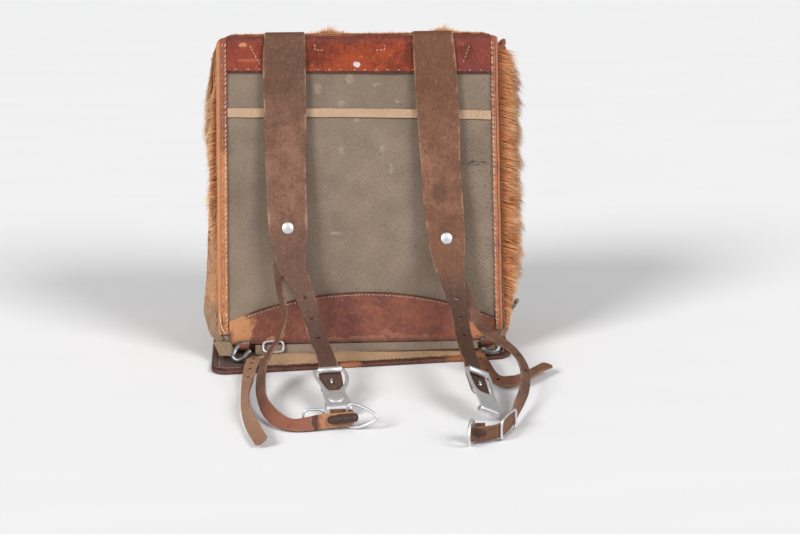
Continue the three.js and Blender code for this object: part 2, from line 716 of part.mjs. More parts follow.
// The last rows of a shoulder strap run under the roller of its hook.
function rowsInHook(matrix, width) {
  const up = vector(0, 0, 1).transformDirection(matrix);
  return [-16, -6, 4, 17, 34].map((along) => {
    const { x, y, z } = vector(0, along, HOOK_STRAP_DEPTH).applyMatrix4(matrix);
    return { x, y, z, width, face_x: up.x, face_y: up.y, face_z: up.z };
  });
}

const RIVET_ROW = 7;
const shoulderLeft = [
  ...table(strapColumns, [
    [-86, 28, 372.6, 46, 0, 0.16, 0.99],
    [-86, 3.1, 377.0, 46, 0, 0.16, 0.99],
    [-86, -5.1, 375.1, 47, 0, -0.59, 0.81],
    [-86, -9.6, 367.9, 48, 0, -0.99, 0.16],
    [-87, -16.6, 335, 49.5, 0, -0.99, 0.15],
    [-87, -26.2, 284, 49, 0, -0.98, 0.17],
    [-87, -39.7, 225, 47, 0, -0.97, 0.22],
    [-86, -56.1, 160, 45, 0, -0.96, 0.27],
    [-83, -67.8, 124, 34, -0.05, -0.94, 0.34],
    [-73, -80.5, 99, 25, -0.1, -0.88, 0.46],
    [-64, -97, 76, 21, -0.1, -0.76, 0.64],
    [-56.5, -121, 55, 20, -0.08, -0.55, 0.83],
    [-49.5, -152, 43, 20.5, -0.03, -0.38, 0.92],
  ]),
  ...rowsInHook(hookLeft, 22),
];
const shoulderRight = [
  ...table(strapColumns, [
    [86, 28, 372.6, 46, 0, 0.16, 0.99],
    [86, 3.1, 377.0, 46, 0, 0.16, 0.99],
    [86, -5.1, 375.1, 47, 0, -0.59, 0.81],
    [86, -9.6, 367.9, 48, 0, -0.99, 0.16],
    [88, -16.6, 333, 50, 0, -0.99, 0.15],
    [91, -26.6, 282, 49, 0, -0.98, 0.17],
    [93, -40.1, 222, 47, 0, -0.97, 0.22],
    [98.5, -58.4, 145, 44, 0, -0.95, 0.3],
    [101, -69.2, 116, 35, 0.03, -0.93, 0.36],
    [105, -82.5, 94, 26, 0.08, -0.87, 0.48],
    [109, -98, 73, 21, 0.15, -0.74, 0.65],
    [111.5, -122, 55.5, 20, 0.22, -0.5, 0.84],
    [112, -165, 47, 20.5, 0.35, -0.25, 0.9],
  ]),
  ...rowsInHook(hookRight, 22),
];

const spineLeft = strapSpine(shoulderLeft);
const spineRight = strapSpine(shoulderRight);
const rivetHole = RIVET_SHANK + SEAM_GAP;
const strapHoles = [[RIVET_ROW, rivetHole], ...[9.6, 10.5, 11.4, 16].map((at) => [at, HOLE_RADIUS])];
place("shoulder_strap_left", punched(spineLeft, 2, strapHoles), strapLeather);
place("shoulder_strap_right", punched(spineRight, 2, strapHoles), strapLeather);
placeHook("left", hookLeft);
placeHook("right", hookRight);

// Auxiliary straps start behind the shoulder straps at the rivets and run out to the floor.
function rowsBehind(spine, width) {
  return [RIVET_ROW - 0.32, RIVET_ROW, RIVET_ROW + 0.45].map((at) => {
    const { centre, face } = spine(at);
    const { x, y, z } = centre.addScaledVector(face, -STRAP - SEAM_GAP * 2);
    return { x, y, z, width, face_x: face.x, face_y: face.y, face_z: face.z };
  });
}
const auxLeft = [
  ...rowsBehind(spineLeft, AUX_WIDTH),
  ...table(strapColumns, [
    [-95, -55.5, 119, 17, -0.4, -0.9, 0.2],
    [-97, -69, 97, 16, -0.85, -0.4, 0.2],
    [-91, -101, 66, 16, -0.95, -0.15, 0.25],
    [-95, -123, 57, 16, -0.9, -0.15, 0.4],
    [-101, -137, 49, 16, -0.85, -0.15, 0.5],
    [-109, -152, 41, 16, -0.8, -0.2, 0.6],
    [-117, -171, 31, 16, -0.75, -0.2, 0.62],
    [-120, -199, 21, 16, -0.75, -0.2, 0.6],
    [-117, -240, 14, 16, -0.85, -0.3, 0.4],
    [-112, -260, 11.5, 16, -0.8, -0.35, 0.5],
    [-104, -278, 9, 16, -0.65, -0.35, 0.65],
    [-94, -289.5, 7, 16, -0.4, -0.45, 0.8],
    [-84, -293.5, 6.4, 16, -0.15, -0.55, 0.82],
    [-68, -294.5, 8, 16, 0, -0.8, 0.6],
    [-50, -295, 11, 16, 0, -0.98, 0.15],
    [-27, -294, 12.6, 16, 0.1, -1, 0],
    [-22, -289.8, 12.6, 16, 1, 0, 0],
    [-27, -285.6, 12.6, 16, 0, 1, 0],
    [-46, -286, 12.6, 16, 0, 1, 0],
  ]),
];
const auxRight = [
  ...rowsBehind(spineRight, AUX_WIDTH),
  ...table(strapColumns, [
    [106, -64.5, 108, 17, 0.2, -0.95, 0.25],
    [117, -76, 86, 16, 0.3, -0.85, 0.4],
    [131, -103, 59, 16, 0.35, -0.7, 0.6],
    [142.5, -122, 49, 16, 0.35, -0.6, 0.7],
    [155, -135, 42.5, 16, 0.35, -0.5, 0.8],
    [166, -149, 37, 16, 0.45, -0.35, 0.8],
    [173, -168, 32, 16, 0.6, -0.25, 0.75],
    [175, -189, 27.5, 16, 0.65, -0.2, 0.72],
    [173.5, -209, 23.5, 16, 0.75, -0.15, 0.62],
    [169.5, -230, 19.5, 16, 0.8, -0.2, 0.52],
    [163.5, -252, 16.5, 16, 0.85, -0.3, 0.35],
    [155.5, -276, 14, 16, 0.86, -0.42, 0.2],
    [147.5, -301, 12, 16, 0.88, -0.46, 0.05],
    [137.5, -323, 11, 16, 0.88, -0.47, 0],
    [127, -339.5, 12, 16, 0.6, -0.8, 0],
    [112, -346.5, 12.6, 16, 0.1, -1, 0],
    [102, -347.4, 12.6, 16, 0, -1, 0],
    [96.6, -342.4, 12.6, 16, -1, 0, 0],
    [102, -337.4, 12.6, 16, 0, 1, 0],
    [114, -336.6, 12.6, 16, 0, 1, 0],
  ]),
];
const auxHoles = [[1, rivetHole]];
place("aux_strap_left", punched(strapSpine(auxLeft), 2, auxHoles), strapLeather);
place("aux_strap_right", punched(strapSpine(auxRight), 2, auxHoles), strapLeather);

const behindBoth = -STRAP * 1.5 - SEAM_GAP * 3;
const headSeat = STRAP / 2 + SEAM_GAP;
const rivetProfile = table("radius along", [
  [RIVET_BURR, behindBoth - 1.2],
  [RIVET_BURR, behindBoth],
  [RIVET_SHANK, behindBoth],
  [RIVET_SHANK, headSeat],
  [RIVET_HEAD, headSeat],
  [RIVET_HEAD * 0.96, headSeat + 0.8],
  [RIVET_HEAD * 0.6, headSeat + 2],
  [1.5, headSeat + 2.4],
]);
for (const [side, spine] of [["left", spineLeft], ["right", spineRight]]) {
  const { centre, face } = spine(RIVET_ROW);
  place(`rivet_${side}`, turned(rivetProfile, centre, face, 12), steel);
}

// Wire loops held in the folded ends of the auxiliary straps, and their buckle frames.
place("wire_loop_left", wire(
  [[-26, -289.8, 3.2], [-26, -289.8, 26], [-18, -290.4, 26.6], [3, -299, 15], [-17, -294, 3]],
  LOOP_WIRE, true, WIRE_STEPS, WIRE_SIDES,
), steel);
place("wire_loop_right", wire(
  [[100.6, -343.6, 3.4], [100.6, -343.6, 26], [97, -351, 26.6], [94.5, -361, 15], [97, -351, 3]],
  LOOP_WIRE, true, WIRE_STEPS, WIRE_SIDES,
), steel);
place("aux_buckle_left", wire(
  [[-74, -286, 6], [-74, -286, 17.5], [-71.5, -286, 20], [-55.5, -286, 20],
    [-53, -286, 17.5], [-53, -286, 6], [-55.5, -286, 3.4], [-71.5, -286, 3.4]],
  BUCKLE_WIRE, true, WIRE_STEPS, WIRE_SIDES,
), steel);
place("aux_buckle_right", wire(
  [[131.3, -340.1, 6], [131.3, -340.1, 21], [132.5, -337.9, 23.5], [148.9, -307.6, 23.5],
    [150.1, -305.4, 21], [150.1, -305.4, 6], [148.9, -307.6, 3.4], [132.5, -337.9, 3.4]],
  BUCKLE_WIRE, true, WIRE_STEPS, WIRE_SIDES,
), steel);

// Billets: loose straps with holes that come out from the bottom corners.
const billetLeft = table(strapColumns, [
  [-115, -53, 4.7, 16, 0, 0, 1],
  [-118, -62, 5.6, 16, 0, -0.1, 1],
  [-125.5, -76, 8.6, 16, 0, -0.1, 1],
  [-130, -98, 10, 16, -0.1, -0.1, 1],
  [-132.5, -127, 10.2, 16, -0.3, -0.15, 0.94],
  [-135, -171, 9.8, 16, -0.6, -0.15, 0.78],
  [-137, -210, 9.8, 16, -0.8, -0.15, 0.58],
  [-136.5, -242, 9.8, 16, -0.85, -0.2, 0.5],
  [-133, -276, 9.6, 16, -0.78, -0.3, 0.55],
  [-127, -307, 9, 16, -0.6, -0.3, 0.74],
  [-118.5, -344, 8, 16, -0.5, -0.3, 0.8],
]);
const billetRight = table(strapColumns, [
  [130, -52, 4.7, 17, 0, 0, 1],
  [131, -60, 6.5, 17, 0, 0.2, 0.98],
  [132, -70, 8.4, 17, 0, 0.2, 0.98],
  [133.5, -88, 10, 17, 0, -0.05, 1],
  [136.5, -122, 11, 17, 0, -0.25, 0.97],
  [139.5, -150, 10.2, 17, 0, -0.3, 0.95],
  [145, -171, 10, 17, 0, -0.34, 0.93],
  [155, -179.5, 10, 17, 0, -0.36, 0.92],
  [167, -175.5, 10, 17, -0.05, -0.3, 0.94],
  [179, -164, 9.6, 17, -0.1, -0.15, 0.97],
  [192, -147.5, 9.6, 17, -0.15, -0.1, 0.97],
  [205, -133, 10, 17, -0.2, -0.15, 0.96],
  [212, -126.5, 10.4, 17, -0.2, -0.3, 0.92],
]);
const billetHoles = [2.4, 3.1, 3.8, 4.5].map((at) => [at, HOLE_RADIUS]);
place("billet_left", punched(strapSpine(billetLeft), 2, billetHoles), tanLeather);
place("billet_right", punched(strapSpine(billetRight), 2, billetHoles), strapLeather);

// Corner hooks hang in small leather tabs under the patch.
const HOOK_WIRE = 2.4;
function cornerHook(side, middle) {
  const bend = table("out y z", [
    [-12, -68, 22], [0, -68, 22], [9, -68.5, 21], [14, -72, 17],
    [13, -79, 11.5], [6, -84, 9], [-1, -81.5, 12.6], [-10, -76, 17],
  ]);
  return wire(bend.map(({ out, y, z }) => [middle + side * out, y, z]), HOOK_WIRE, false, 18, 6);
}
function hookTab(middle) {
  const fold = table("y z face_y face_z", [
    [-64.6, 34, -1, 0.1], [-63.9, 23, -1, 0], [-65.2, 18.9, -0.7, 0.7], [-68.2, 17.6, 0, 1],
    [-71.2, 18.9, 0.7, 0.7], [-72.4, 23, 1, 0], [-70.5, 34, 1, 0],
  ]);
  const rows = fold.map((row) => ({ ...row, x: middle, width: 13, face_x: 0 }));
  return strapSolid(strapSpine(rows), 2, 1.8);
}
for (const [name, side, middle] of [["left", -1, -140], ["right", 1, 147]]) {
  place(`corner_hook_${name}`, cornerHook(side, middle), darkSteel);
  place(`hook_tab_${name}`, hookTab(middle), redLeather);
}

place("closing_buckle_left", wire(
  [[-112, -63.8, 24.5], [-98, -63.8, 24.5], [-94, -64.6, 23.2], [-94, -71, 16.6],
    [-97, -72.6, 15], [-113, -72.6, 15], [-116, -71, 16.6], [-116, -64.6, 23.2]],
  BUCKLE_WIRE, true, WIRE_STEPS, WIRE_SIDES,
), steel);

// A short leather tab stands out at the upper right corner.
const cornerTab = table(strapColumns, [
  [168.6, 3, 338, 13, 1, 0, 0],
  [170.6, 4, 350, 14, 1, 0, -0.1],
  [174, 5, 361, 14, 1, 0, -0.2],
  [175, 6, 371, 12, 1, 0, 0],
]);
place("corner_tab_right", strapSolid(strapSpine(cornerTab), 3), redLeather);

export default rucksack;
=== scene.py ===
"""Finished looks of a fur-covered military rucksack that stands upright, wearer's side towards -Y.

Shapes are worked out in millimetres as whole numpy arrays and scaled to metres when they become meshes.
"""
import math

import bpy
import numpy as np
from mathutils import Matrix, Vector


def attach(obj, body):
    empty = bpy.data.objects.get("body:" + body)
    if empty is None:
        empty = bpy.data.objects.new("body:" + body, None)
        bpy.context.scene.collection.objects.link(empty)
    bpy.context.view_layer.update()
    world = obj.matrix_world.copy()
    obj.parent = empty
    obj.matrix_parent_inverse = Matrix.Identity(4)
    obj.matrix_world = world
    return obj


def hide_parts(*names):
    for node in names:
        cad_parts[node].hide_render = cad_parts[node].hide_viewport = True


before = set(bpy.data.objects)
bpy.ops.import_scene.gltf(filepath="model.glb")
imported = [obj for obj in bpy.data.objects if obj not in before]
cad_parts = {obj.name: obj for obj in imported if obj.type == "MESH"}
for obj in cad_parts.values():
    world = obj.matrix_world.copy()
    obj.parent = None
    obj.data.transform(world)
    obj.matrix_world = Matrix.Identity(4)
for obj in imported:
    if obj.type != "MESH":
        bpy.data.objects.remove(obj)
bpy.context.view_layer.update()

MM = 0.001
TAU = 2 * math.pi

# The bag's driving sizes in millimetres
PANEL_HEIGHT = 352
PANEL_INSET = 1
BAND_HEIGHT = 358
PANEL_HALF_FOOT = 170
PANEL_HALF_TOP = 165
PANEL_LEAN = math.radians(9)
PANEL_FOOT_Y = -60
PANEL_FOOT_Z = 20
CANVAS = 2
LEATHER = 2.2
STRAP = 2.6
HIDE = 2
SEAM_GAP = 0.4
FOOT_CORNER = 24
TOP_CORNER = 12
BINDING_WIDTH = 12
BINDING_COVER = {-1: 12, 1: 8}
BINDING_FOOT = 13.2
BINDING_TUCK = 3
BAND_DROP = 41
BAND_SLANT = 2
BAND_ROUND = 9
BAND_SHELF = 34
BAND_SAG = 1.6
PATCH_SIDE_HEIGHT = 28
PATCH_MID_HEIGHT = 60
PATCH_INSET = 2
TAPE_HEIGHT = 272
TAPE_WIDTH = 10
TAPE_FALL = 6
TAPE = 1
END_SHEET = 3
END_HALF_WIDTH = 176
END_REACH_LEFT = -110
END_REACH_RIGHT = -72
END_BACK_Y = 88
END_CORNER = 18
END_BINDING = 14
END_BINDING_BACK = 20

# Camera of the view, in metres
CAMERA_PLACE = Vector((-0.104, -2.176, 0.720))
CAMERA_LOOK = Vector((0.0671, 0.9589, -0.2756))
CAMERA_ROLL = math.radians(0.1)
CAMERA_LENS = 85
CAMERA_SENSOR = 36

# How brightly the lights fall on the wearer's side, against a white screen
LIGHT_LEVEL = 1.25

# Angle from which an edge is drawn sharp
SHARP_EDGE = math.radians(38)


def unit(vectors):
    """Vectors divided by their own lengths."""
    return vectors / np.maximum(np.linalg.norm(vectors, axis=-1, keepdims=True), 1e-9)


def ease(value, low, high):
    """0 up to low, 1 from high on, and the cubic 3t^2 - 2t^3 between them."""
    t = np.clip((value - low) / (high - low), 0, 1)
    return t * t * (3 - 2 * t)


def mix(first, second, t):
    """Straight blend of two values."""
    return first + (second - first) * t


def cubic(a, b, slope_a, slope_b, t):
    """Cubic from a to b that leaves with slope_a and arrives with slope_b."""
    leave = slope_a * (t**3 - 2 * t**2 + t) + slope_b * (t**3 - t**2)
    return a * (2 * t**3 - 3 * t**2 + 1) + b * (3 * t**2 - 2 * t**3) + leave


def read_rows(rows, at):
    """Rows of a table at row numbers between rows; a row's slope is half the step between its neighbours."""
    last = len(rows) - 1
    i = np.clip(np.floor(at).astype(int), 0, last - 1)

    def row(k):
        return rows[np.clip(i + k, 0, last)]

    t = (at - i)[..., None]
    return cubic(row(0), row(1), (row(1) - row(-1)) / 2, (row(2) - row(0)) / 2, t)


def curve_through(points, at, closed=False):
    """Smooth line through points: cubics whose slopes weigh each neighbour by the root of its distance."""
    points = np.asarray(points, float)
    count = len(points)
    whole = np.floor(at).astype(int)
    if closed:
        i = whole
        chain = points
    else:
        i = np.clip(whole, 0, count - 2)
        chain = np.vstack([2 * points[0] - points[1], points, 2 * points[-1] - points[-2]])

    def pick(k):
        return chain[(i + k) % count] if closed else chain[i + k + 1]

    def gap(a, b):
        return np.sqrt(np.linalg.norm(b - a, axis=-1))[..., None]

    p0, p1, p2, p3 = pick(-1), pick(0), pick(1), pick(2)
    d0, d1, d2 = gap(p0, p1), gap(p1, p2), gap(p2, p3)
    leave = d1 * ((p1 - p0) / d0 - (p2 - p0) / (d0 + d1) + (p2 - p1) / d1)
    arrive = d1 * ((p2 - p1) / d1 - (p3 - p1) / (d1 + d2) + (p3 - p2) / d2)
    return cubic(p1, p2, leave, arrive, (at - i)[..., None])


def stacked(*columns):
    """Numbers side by side as the last axis of one array, each spread to the shape that they share."""
    return np.stack(np.broadcast_arrays(*columns), axis=-1)


def run_length(points):
    """Distance travelled along a line of points, from 0."""
    return np.concatenate([[0], np.cumsum(np.linalg.norm(np.diff(points, axis=0), axis=1))])


def along_line(at, far, values):
    """Values of a line's points read at distances along it, column by column."""
    return stacked(*(np.interp(at, far, column) for column in values.T))


FINE_STEPS = 40


def even_points(points, count, closed=False):
    """A count of points at even distances along the smooth line through the given points."""
    spans = len(points) if closed else len(points) - 1
    steps = np.linspace(0, spans, spans * FINE_STEPS + 1)
    fine = curve_through(points, steps[:-1] if closed else steps, closed)
    if closed:
        fine = np.vstack([fine, fine[:1]])
    far = run_length(fine)
    at = np.linspace(0, far[-1], count + 1)[:-1] if closed else np.linspace(0, far[-1], count)
    return along_line(at, far, fine)


# Sine waves in a ripple, with the least and greatest heading, length as a share of its size, and phase
WAVES = 9
WAVE_LEAST = (0, 0.6, 0)
WAVE_MOST = (TAU, 1.8, TAU)


def ripples(u, v, size, seed):
    """Soft unevenness of about -1 to 1: a sum of sine waves of random headings, about size mm long."""
    draw = np.random.default_rng(seed)
    total = 0
    for heading, length, phase in draw.uniform(WAVE_LEAST, WAVE_MOST, (WAVES, 3)):
        across = u * math.cos(heading) + v * math.sin(heading)
        total = total + np.sin(TAU * across / (size * length) + phase)
    return total / (1.6 * math.sqrt(WAVES))


def on_panel(x, height, proud):
    """Place on the leaning wearer's side: across, height up it, and distance proud of it."""
    y = PANEL_FOOT_Y + height * math.sin(PANEL_LEAN) - proud * math.cos(PANEL_LEAN)
    z = PANEL_FOOT_Z + height * math.cos(PANEL_LEAN) + proud * math.sin(PANEL_LEAN)
    return stacked(x, y, z)


PANEL_OUT = np.array([0, -math.cos(PANEL_LEAN), math.sin(PANEL_LEAN)])


def panel_half(height):
    """Half the panel's width at a height."""
    return mix(PANEL_HALF_FOOT, PANEL_HALF_TOP, height / PANEL_HEIGHT)


class Shape:
    """A mesh in the making: points in mm, blocks of faces, and what a finish reads at each point.

    lay is the place on the flat piece in mm, rim is 1 at an edge and 0 inside, side is 1 on the grain face
    and -1 on the back.
    """

    def __init__(self, points, faces, lay=None, rim=None, side=None):
        self.points = np.asarray(points, float).reshape(-1, 3)
        count = len(self.points)
        self.faces = faces
        self.lay = np.zeros((count, 2)) if lay is None else np.reshape(lay, (count, 2))
        self.rim = np.zeros(count) if rim is None else np.reshape(rim, count)
        self.side = np.ones(count) if side is None else np.reshape(side, count)


def join(*shapes):
    """Several shapes as one mesh: their points follow each other and face numbers move up to match."""
    offsets = np.cumsum([0] + [len(shape.points) for shape in shapes[:-1]])
    faces = [block + offset for shape, offset in zip(shapes, offsets) for block in turned_out(shape).faces]

    def gathered(part):
        return np.concatenate([getattr(shape, part) for shape in shapes])

    return Shape(gathered("points"), faces, gathered("lay"), gathered("rim"), gathered("side"))


def turned_out(shape):
    """Faces point outwards: where the sum of a.(b x c) over the triangles is negative, all are turned."""
    volume = 0
    for block in shape.faces:
        corners = shape.points[block]
        for k in range(1, block.shape[1] - 1):
            sides = np.cross(corners[:, k], corners[:, k + 1])
            volume += np.sum(corners[:, 0] * sides)
    if volume < 0:
        shape.faces = [block[:, ::-1] for block in shape.faces]
    return shape


def grid_faces(rows, columns, round_rows=False, round_columns=False):
    """Four-sided faces between neighbours of a grid of points numbered row by row."""
    i = np.arange(rows if round_rows else rows - 1)[:, None]
    j = np.arange(columns if round_columns else columns - 1)[None, :]

    def number(a, b):
        return (a % rows) * columns + b % columns

    corners = [number(i, j), number(i, j + 1), number(i + 1, j + 1), number(i + 1, j)]
    return stacked(*corners).reshape(-1, 4)


def grid_normals(grid):
    """Unit normals of a grid of points: step down the rows crossed with step along the columns."""
    return unit(np.cross(np.gradient(grid, axis=0), np.gradient(grid, axis=1)))


def edge_share(grid, width):
    """1 at the border of a grid, falling to 0 at a width inside it, by distance along rows and columns."""
    across = np.cumsum(np.linalg.norm(np.diff(grid, axis=1, prepend=grid[:, :1]), axis=-1), axis=1)
    down = np.cumsum(np.linalg.norm(np.diff(grid, axis=0, prepend=grid[:1]), axis=-1), axis=0)
    nearest = np.minimum(np.minimum(across, across[:, -1:] - across), np.minimum(down, down[-1:] - down))
    return np.clip(1 - nearest / width, 0, 1)


def wall(grid, thickness, lay, round_edge=0.4, worn=6):
    """Closed sheet: the grid, the grid moved back along its normals, and a rounded strip round the border."""
    rows, columns = grid.shape[:2]
    count = rows * columns
    number = np.arange(count).reshape(rows, columns)
    loop = np.concatenate([number[0], number[1:, -1], number[-1, -2::-1], number[-2:0:-1, 0]])
    outward = np.zeros_like(grid)
    outward[0] += unit(grid[0] - grid[1])
    outward[-1] += unit(grid[-1] - grid[-2])
    outward[:, 0] += unit(grid[:, 0] - grid[:, 1])
    outward[:, -1] += unit(grid[:, -1] - grid[:, -2])
    outer = grid.reshape(-1, 3)
    inner = outer - thickness * grid_normals(grid).reshape(-1, 3)
    edge = (outer + inner)[loop] / 2 + round_edge * unit(outward.reshape(-1, 3)[loop])
    front = grid_faces(rows, columns)
    ring = 2 * count + np.arange(len(loop))
    after = np.roll(np.arange(len(loop)), -1)
    faces = [
        front,
        front[:, ::-1] + count,
        stacked(loop[after], loop, ring, ring[after]),
        stacked(ring[after], ring, loop + count, loop[after] + count),
    ]
    lay = np.reshape(lay, (-1, 2))
    rim = edge_share(grid, worn).ravel()
    return turned_out(Shape(
        np.vstack([outer, inner, edge]),
        faces,
        np.vstack([lay, lay, lay[loop]]),
        np.concatenate([rim, rim, np.ones(len(loop))]),
        np.concatenate([np.ones(count), -np.ones(count), np.zeros(len(loop))]),
    ))


def skin(rings, lay=None, rim=None, side=None, looped=False):
    """Skin over rings of points, closed round each ring, with flat ends or joined end to end."""
    count, sides = rings.shape[:2]
    faces = [grid_faces(count, sides, looped, True)]
    if not looped:
        faces.append(np.arange(sides)[None, ::-1])
        faces.append(np.arange((count - 1) * sides, count * sides)[None, :])
    return turned_out(Shape(rings, faces, lay, rim, side))


def ribbon(centre, across, face, half, thickness, edge=0.9, flat=9):
    """Strip along a path: at each station a flat bar with rounded edges, half wide to either side."""
    share = np.linspace(-1, 1, flat)
    turn = np.radians([50, 0, -50])
    reach = np.concatenate([share, np.ones(3), -share, -np.ones(3)])
    round_out = np.concatenate([np.zeros(flat), np.cos(turn), np.zeros(flat), -np.cos(turn)])
    lift = np.concatenate([np.ones(flat), np.sin(turn), -np.ones(flat), -np.sin(turn)])
    wide = (np.asarray(half)[:, None] - edge) * reach + edge * round_out
    high = thickness / 2 * lift
    rings = centre[:, None] + across[:, None] * wide[..., None] + face[:, None] * high[None, :, None]
    rim = np.abs(wide) / np.max(np.abs(wide), axis=1, keepdims=True)
    lay = stacked(wide, run_length(centre)[:, None])
    return skin(rings, lay, rim, np.broadcast_to(lift, wide.shape))


def tube(points, radius, closed, steps, sides=12):
    """Round wire along the smooth line through points; open ends are rounded off."""
    centre = even_points(np.asarray(points, float), steps, closed)
    if closed:
        along = np.roll(centre, -1, axis=0) - np.roll(centre, 1, axis=0)
        thick = np.full(steps, radius, float)
    else:
        along = np.gradient(centre, axis=0)
        far = run_length(centre)
        from_end = np.clip(np.minimum(far, far[-1] - far) / radius, 0.02, 1)
        thick = radius * np.sqrt(1 - (1 - from_end) ** 2)
    flat_axis = np.linalg.svd(centre - centre.mean(axis=0), full_matrices=False)[2][-1]
    normal = unit(np.cross(along, flat_axis))
    other = unit(np.cross(along, normal))
    angle = np.linspace(0, TAU, sides, endpoint=False)[None, :, None]
    ring = normal[:, None] * np.cos(angle) + other[:, None] * np.sin(angle)
    return skin(centre[:, None] + ring * thick[:, None, None], looped=closed)


def lathe(profile, centre, direction, sides=28):
    """Body turned about a line: each row of the profile is a radius and a place along the line."""
    profile = np.asarray(profile, float)
    direction = unit(np.asarray(direction, float))
    first = unit(np.cross(direction, [0.3, 0.9, 0.2]))
    second = np.cross(direction, first)
    angle = np.linspace(0, TAU, sides, endpoint=False)[:, None]
    ring = first * np.cos(angle) + second * np.sin(angle)
    line = np.asarray(centre, float) + profile[:, 1:] * direction
    return skin(line[:, None] + ring[None] * profile[:, :1, None])


BEAD_RINGS = np.array([-0.85, -0.5, 0, 0.5, 0.85])
BEAD_SIDES = 6


def beads(centres, along, up, length, width, height):
    """One small lens of thread repeated at each centre, long along its seam and half sunk in it."""
    angle = np.linspace(0, TAU, BEAD_SIDES, endpoint=False)
    size = np.sqrt(1 - BEAD_RINGS**2)[:, None]
    body = stacked(BEAD_RINGS[:, None], size * np.cos(angle), size * np.sin(angle)).reshape(-1, 3)
    body = np.vstack([body, [[-1, 0, 0], [1, 0, 0]]])
    count = len(body)
    quads = grid_faces(len(BEAD_RINGS), BEAD_SIDES, False, True)
    j = np.arange(BEAD_SIDES)
    after = (j + 1) % BEAD_SIDES
    last = (len(BEAD_RINGS) - 1) * BEAD_SIDES
    start = stacked(count - 2, after, j)
    end = stacked(count - 1, last + j, last + after)
    along = unit(along)
    over = unit(np.cross(up, along))
    up = np.cross(along, over)
    points = (
        centres[:, None]
        + along[:, None] * (body[:, :1] * length / 2)
        + over[:, None] * (body[:, 1:2] * width / 2)
        + up[:, None] * (body[:, 2:] * height / 2)
    )
    shift = (np.arange(len(centres)) * count)[:, None, None]
    faces = [
        (quads[None] + shift).reshape(-1, 4),
        np.concatenate([(start[None] + shift), (end[None] + shift)], axis=1).reshape(-1, 3),
    ]
    return turned_out(Shape(points, faces, points[..., [0, 2]]))


# Rows of stitches: pitch, then a stitch's length, width and height
BINDING_STITCH = (5.4, 4.8, 1.4, 1.2)
BAND_STITCH = (13.6, 2.4, 1.1, 0.9)
BAND_CORNER_STITCH = (4.4, 3.0, 1.0, 0.9)
PATCH_STITCH = (4.0, 2.6, 0.9, 0.9)
HEM_STITCH = (3.4, 2.3, 0.9, 0.9)
TONGUE_STITCH = (4.2, 2.6, 0.9, 0.9)


def seam(path, up, pitch, length, width, height, seed, start=0.5, uneven=0.12, slant=0.0):
    """A row of stitches at an even pitch along a line of points, slanted and each a little out of true."""
    far = run_length(path)
    draw = np.random.default_rng(seed)
    at = np.arange(start * pitch, far[-1], pitch)
    at = at + draw.uniform(-uneven, uneven, len(at)) * pitch
    centres = along_line(at, far, path)
    along = along_line(at, far, np.gradient(path, axis=0))
    ups = along_line(at, far, np.broadcast_to(up, path.shape))
    over = unit(np.cross(ups, along))
    along = unit(along) + over * (slant + draw.uniform(-uneven, uneven, len(at))[:, None] * 2)
    return beads(centres, along, ups, length, width, height)


def set_layer(mesh, label, domain, values):
    """A number for each point or face, which finishes read by its name."""
    layer = mesh.attributes.new(label, "FLOAT", domain)
    layer.data.foreach_set("value", values.astype(np.float32))


def filled_mesh(name, points, blocks, flat_name, flat, **layers):
    """Mesh in metres from points in mm, blocks of faces, a flat map of the points, and point layers."""
    mesh = bpy.data.meshes.new(name)
    loops = np.concatenate([block.ravel() for block in blocks]).astype(np.int32)
    sizes = np.concatenate([np.full(len(block), block.shape[1]) for block in blocks])
    mesh.vertices.add(len(points))
    mesh.vertices.foreach_set("co", (points * MM).astype(np.float32).ravel())
    mesh.loops.add(len(loops))
    mesh.loops.foreach_set("vertex_index", loops)
    mesh.polygons.add(len(sizes))
    mesh.polygons.foreach_set("loop_start", (np.cumsum(sizes) - sizes).astype(np.int32))
    mesh.uv_layers.new(name=flat_name).uv.foreach_set("vector", flat[loops].astype(np.float32).ravel())
    for label, values in layers.items():
        set_layer(mesh, label, "POINT", values)
    mesh.update(calc_edges=True)
    return mesh


def linked(name, mesh):
    """Object that holds a mesh, a light or a camera, put in the scene."""
    made = bpy.data.objects.new(name, mesh)
    bpy.context.scene.collection.objects.link(made)
    return made


def finished(name, mesh, finish):
    """Piece of a smooth mesh with its finish, which rides on the bag."""
    mesh.shade_smooth()
    mesh.materials.append(finish)
    piece = linked(name, mesh)
    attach(piece, "root")
    return piece


def put(name, shape, finish, stands_for=()):
    """Turns a shape into a piece that stands for CAD nodes."""
    turned_out(shape)
    mesh = filled_mesh(name, shape.points, shape.faces, "lay", shape.lay, rim=shape.rim, side=shape.side)
    mesh.validate()
    piece = finished(name, mesh, finish)
    mesh.set_sharp_from_angle(angle=SHARP_EDGE)
    if stands_for:
        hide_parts(*stands_for)
    return piece


ROD_SIDES = 14
ROD_LENGTH = 12
# A face is a hole's wall where its normal lies across the rod to within this share
WALL_LEAN = 0.4


